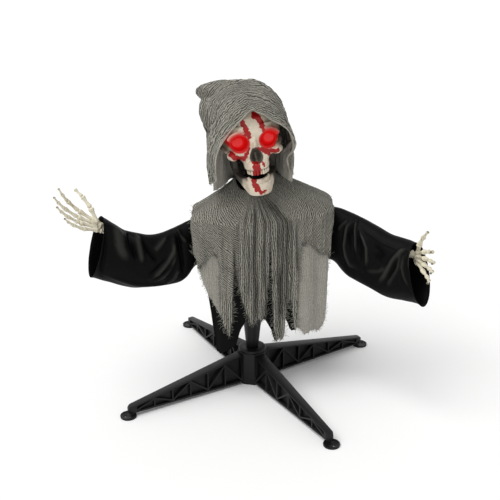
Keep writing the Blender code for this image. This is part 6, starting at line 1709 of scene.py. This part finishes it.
# %% [markdown]
# ### The sleeves
# Each sleeve is a wide tube of satin that hangs from the arm's rod and is open at the cuff. Stations along
# the arm give how far it rises above the rod, drops below it, and spreads. Broad soft folds hang between
# the elbow and the cuff, and pinch folds gather where the arm bends.

# %% Sleeves
SLEEVE_DROP = {"right": 0.1130, "left": 0.1280}
SLEEVE_HALF_WIDTH = {"right": 0.0360, "left": 0.0370}
SLEEVE_CUFF_RISE = 0.0165
SLEEVE_CUFF_LEAN = {"right": 0.0320, "left": 0.0340}
SLEEVE_SHARES = {
    "right": ((0.00, 0.14, 0.44, 0.0), (0.04, 0.84, 0.67, 0.0), (0.04, 1.00, 0.81, 0.0),
              (0.04, 0.92, 0.92, 0.0), (0.15, 0.97, 0.97, 0.2), (1.00, 0.87, 1.00, 1.0)),
    "left": ((0.00, 0.13, 0.43, 0.0), (0.04, 0.43, 0.60, 0.0), (0.04, 0.84, 0.73, 0.0),
             (0.04, 1.00, 0.86, 0.0), (0.10, 0.99, 0.95, 0.2), (1.00, 0.78, 1.00, 1.0)),
}
OVER_ROD = 0.0072
SLEEVE_STATIONS = 11


def sleeve_row(side, along):
    table = SLEEVE_SHARES[side]
    at = along * (len(table) - 1)
    index = min(int(at), len(table) - 2)
    rise, drop, half, lean = Vector(table[index]).lerp(Vector(table[index + 1]), ease(at - index))
    return (OVER_ROD + SLEEVE_CUFF_RISE * rise, SLEEVE_DROP[side] * drop, SLEEVE_HALF_WIDTH[side] * half,
            SLEEVE_CUFF_LEAN[side] * lean)


# Folds and troughs: the line they follow as (share along, share round), their width and height
SLEEVE_FOLDS = {
    "right": (
        (((0.88, 0.03), (0.90, 0.10), (0.89, 0.17), (0.84, 0.25)), 0.050, 0.0060),
        (((0.76, 0.03), (0.75, 0.15), (0.74, 0.24)), 0.030, 0.0055),
        (((0.50, 0.06), (0.59, 0.126), (0.65, 0.16)), 0.025, 0.0045),
        (((0.46, 0.12), (0.48, 0.19), (0.55, 0.24), (0.62, 0.29), (0.68, 0.32)), 0.022, 0.0070),
        (((0.45, 0.20), (0.50, 0.265), (0.56, 0.31), (0.64, 0.345)), 0.020, 0.0050),
        (((0.44, 0.29), (0.48, 0.35), (0.54, 0.39)), 0.022, 0.0050),
        (((0.43, 0.02), (0.41, 0.11), (0.35, 0.18)), 0.022, 0.0040),
        (((0.94, 0.37), (0.81, 0.38), (0.66, 0.40), (0.50, 0.42)), 0.022, 0.0035),
        (((0.98, 0.10), (0.97, 0.30), (0.96, 0.38)), 0.016, -0.0050),
        (((0.81, 0.00), (0.81, 0.12), (0.77, 0.23)), 0.018, -0.0060),
        (((0.72, 0.04), (0.68, 0.155), (0.61, 0.235)), 0.020, -0.0050),
        (((0.52, 0.20), (0.62, 0.263), (0.70, 0.312)), 0.016, -0.0045),
        (((0.48, 0.255), (0.56, 0.29), (0.65, 0.33)), 0.013, -0.0035),
        (((0.435, 0.05), (0.42, 0.20), (0.39, 0.37)), 0.020, -0.0060)),
    "left": (
        (((0.62, 0.94), (0.58, 0.874), (0.58, 0.82), (0.58, 0.77), (0.60, 0.727), (0.63, 0.69), (0.72, 0.70)),
         0.018, 0.0060),
        (((0.63, 0.95), (0.64, 0.89), (0.66, 0.838), (0.68, 0.75)), 0.013, 0.0055),
        (((0.66, 0.90), (0.71, 0.858), (0.74, 0.824), (0.75, 0.774), (0.74, 0.73)), 0.015, 0.0060),
        (((0.58, 0.924), (0.54, 0.873), (0.50, 0.815)), 0.020, 0.0040),
        (((0.70, 0.905), (0.79, 0.902), (0.88, 0.895), (0.93, 0.89)), 0.009, 0.0022),
        (((0.99, 0.93), (0.94, 0.879), (0.90, 0.82), (0.86, 0.74), (0.81, 0.677)), 0.018, 0.0060),
        (((0.95, 0.89), (0.93, 0.789), (0.89, 0.725), (0.86, 0.676)), 0.014, 0.0045),
        (((0.97, 0.88), (0.955, 0.80), (0.96, 0.76), (0.985, 0.70)), 0.014, 0.0045),
        (((1.00, 0.93), (1.00, 0.876), (0.995, 0.794)), 0.014, 0.0045),
        (((0.86, 0.78), (0.83, 0.751), (0.73, 0.706)), 0.018, 0.0040),
        (((0.63, 0.90), (0.61, 0.84), (0.62, 0.76)), 0.014, -0.0040),
        (((0.67, 0.86), (0.70, 0.80), (0.70, 0.75)), 0.013, -0.0040),
        (((0.78, 0.87), (0.83, 0.84), (0.80, 0.78)), 0.035, -0.0040),
        (((0.93, 0.84), (0.90, 0.77), (0.86, 0.71)), 0.012, -0.0035)),
}
FOLD_WIDTH = {"right": 0.85, "left": 0.70}


def fold_height(side, around, along):
    """Sum of the folds that pass this place; each is a soft ridge or trough along a line."""
    rise = 0.0
    for line, spread, high in SLEEVE_FOLDS[side]:
        wide = spread * FOLD_WIDTH[side]
        nearest = 9.0
        share = 0.5
        for index, ((a0, r0), (a1, r1)) in enumerate(zip(line, line[1:])):
            run_along = a1 - a0
            run_round = (r1 - r0) * 1.15
            here_round = (around - r0 - round(around - r0)) * 1.15
            part = ((along - a0) * run_along + here_round * run_round) / (run_along ** 2 + run_round ** 2)
            held = max(0.0, min(1.0, part))
            away = math.hypot(along - a0 - held * run_along, here_round - held * run_round)
            if away < nearest:
                nearest = away
                share = (index + held) / (len(line) - 1)
        if nearest < 3 * wide:
            fade = 0.25 + 0.75 * ease(share * 4) * ease((1 - share) * 4)
            rise += high * fade * math.exp(-(nearest / wide) ** 2)
    return rise


for side, hand in SIDES:
    route = rod_route(side, hand, SLEEVE_STATIONS + 1)

    def sleeve_place(around, along, route=route, side=side):
        centre = curve_at(route, along * SLEEVE_STATIONS)
        further = min(along + 0.03, 1.0)
        ahead = curve_at(route, further * SLEEVE_STATIONS)
        ahead -= curve_at(route, max(further - 0.06, 0.0) * SLEEVE_STATIONS)
        ahead.z = 0.0
        ahead.normalize()
        across = Vector((0, 0, 1)).cross(ahead)
        rise, drop, half, lean = sleeve_row(side, along)
        angle = 2 * math.pi * around
        down = (1 - math.cos(angle)) / 2
        return (centre + across * (half * math.sin(angle)) + ahead * (lean * down)
                + Vector((0, 0, rise - (rise + drop) * down)))

    def from_rod(point, route=route, side=side):
        nearest = min(route, key=lambda spot: (Vector(point).xy - spot.xy).length)
        return (point[0] - nearest.x, point[1] - nearest.y, point[2] - nearest.z + 0.4 * SLEEVE_DROP[side])

    heights = []

    def sleeve_crease(u, v, around, along, side=side, heights=heights):
        angle = 2 * math.pi * around
        soft = 0.0016 * wrinkle(math.cos(angle), math.sin(angle) + v * 20, 0.8, 1.4, 6.6)
        fine = 0.0005 * wrinkle(math.cos(angle) * 2, v * 60, 0.5, 1.2, 1.6)
        cuff = 0.0012 * math.exp(-((1 - along) / 0.012) ** 2)
        lifted = fold_height(side, around, along)
        heights.append((u, v, lifted))
        return (lifted + soft + fine) * ease(along * 5) + cuff

    piece, hems, sizes = sheet_piece(f"sleeve_{side}_satin", 150, 160, sleeve_place, from_rod, sleeve_crease,
                                     satin, closed=True)
    height_at = {(round(u, 5), round(v, 5)): lifted for u, v, lifted in heights}
    lifts = np.zeros(len(piece.data.vertices))
    for loop, uv in zip(piece.data.loops, piece.data.uv_layers[0].uv):
        lifts[loop.vertex_index] = height_at.get((round(uv.vector.x, 5), round(uv.vector.y, 5)), 0.0)
    # The fold heights give a painted highlight on the crests and painted shade in the troughs
    store(piece.data, "crest_highlight", 0.75 * step_up(lifts, 0.0015, 0.0060))
    store(piece.data, "trough_shade", step_up(-lifts, 0.0008, 0.0040))
    declare_sheet(piece, sizes, CLOTH_THICKNESS)
    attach(piece, f"arm_{side}")
    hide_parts(f"sleeve_{side}")

# %% [markdown]
# ## Frayed edges
# Cut gauze sheds its cross threads, so its torn edges end in loose strands. Geometry Nodes put one on
# each point of the hem: a thin curved hair, turned outwards with some spread, and of uneven length. Each
# hem's line and outward direction come from the sheet itself, so the fringe follows the tears and slits.

# %% The fringe tree
fringe, given, found = new_tree("loose threads", [
    ("Length", "Float", 0.006), ("Thickness", "Float", 0.00034), ("Spread", "Float", 0.7),
    ("Seed", "Int", 1), ("Finish", "Material", None)])
spots = add_node(fringe, "GeometryNodeMeshToPoints", inputs={"Mesh": given["Geometry"]})
stray = random_vectors(fringe, given["Seed"], (-1.0, -1.0, -1.3), (1.0, 1.0, 0.7))
strayed = add_node(fringe, "ShaderNodeVectorMath", operation="SCALE",
                   inputs={0: stray, "Scale": given["Spread"]})
heading = add_node(fringe, "ShaderNodeVectorMath", operation="ADD",
                   inputs={0: vector_attribute(fringe, "outward"), 1: strayed.outputs["Vector"]})
hair = add_node(fringe, "GeometryNodeCurveQuadraticBezier",
                inputs={"Resolution": 5, "Start": (0.0, 0.0, 0.0), "Middle": (0.10, 0.0, 0.55),
                        "End": (-0.12, 0.10, 1.0)})
thickness = calc(fringe, "DIVIDE", given["Thickness"], given["Length"])
circle = add_node(fringe, "GeometryNodeCurvePrimitiveCircle", mode="RADIUS",
                  inputs={"Resolution": 3, "Radius": thickness})
strand = add_node(fringe, "GeometryNodeCurveToMesh",
                  inputs={"Curve": hair.outputs[0], "Profile Curve": circle.outputs[0], "Fill Caps": True})
uneven = add_node(fringe, "FunctionNodeRandomValue", data_type="FLOAT",
                  inputs={2: 0.35, 3: 1.8, "Seed": plus(fringe, given["Seed"], 9)})
size = add_node(fringe, "ShaderNodeCombineXYZ",
                inputs={"X": given["Length"], "Y": given["Length"],
                        "Z": times(fringe, given["Length"], uneven.outputs[1])})
copies_out(fringe, spots.outputs[0], strand.outputs[0], aligned(fringe, heading.outputs["Vector"], axis="Z"),
           size.outputs[0], given, found)


# %% Fringes on every torn hem
def thread_finish(name, shade):
    material, tree, shader = new_finish(name, Roughness=0.9, Specular_IOR_Level=0.05)
    mottled = blend_colours(tree, speckle(tree, own_place(tree, "Object"), 300.0), shade, scaled(shade, 0.6))
    tree.links.new(mottled, shader.inputs["Base Color"])
    return material


THREADS = {"gauze": thread_finish("thread_grey", colour(140, 140, 131)),
           "gauze_light": thread_finish("thread_light", colour(182, 182, 174))}
THREAD_STEP = 0.0019


def bears_threads(name, spot):
    """No threads on the hood's rim, on the cape's neckline and on most pieces' side seams."""
    if name == "fray_hood" and spot.y < -0.02:
        return False
    if "cape" in name and spot.z > 0.43:
        return False
    return name == "fray_cape_front" or abs(spot.y) >= 0.004 or spot.z <= 0.33


for name, hems, body, slot, length, seed in frayed:
    spots_at = []
    outs = []
    left = 0.0
    for start, end, away in hems:
        if not bears_threads(name, start):
            continue
        run = (end - start).length
        while left < run:
            spots_at.append(start.lerp(end, left / run))
            outs.append(away)
            left += THREAD_STEP
        left -= run
    mesh = bpy.data.meshes.new(name)
    mesh.from_pydata(spots_at, [], [])
    store_vectors(mesh, "outward", outs)
    piece = new_piece(name, mesh)
    grow(piece, fringe, Length=length, Seed=seed, Finish=THREADS[slot])
    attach(piece, body)
    print(name, len(spots_at), "threads,", len(piece.data.polygons), "faces")
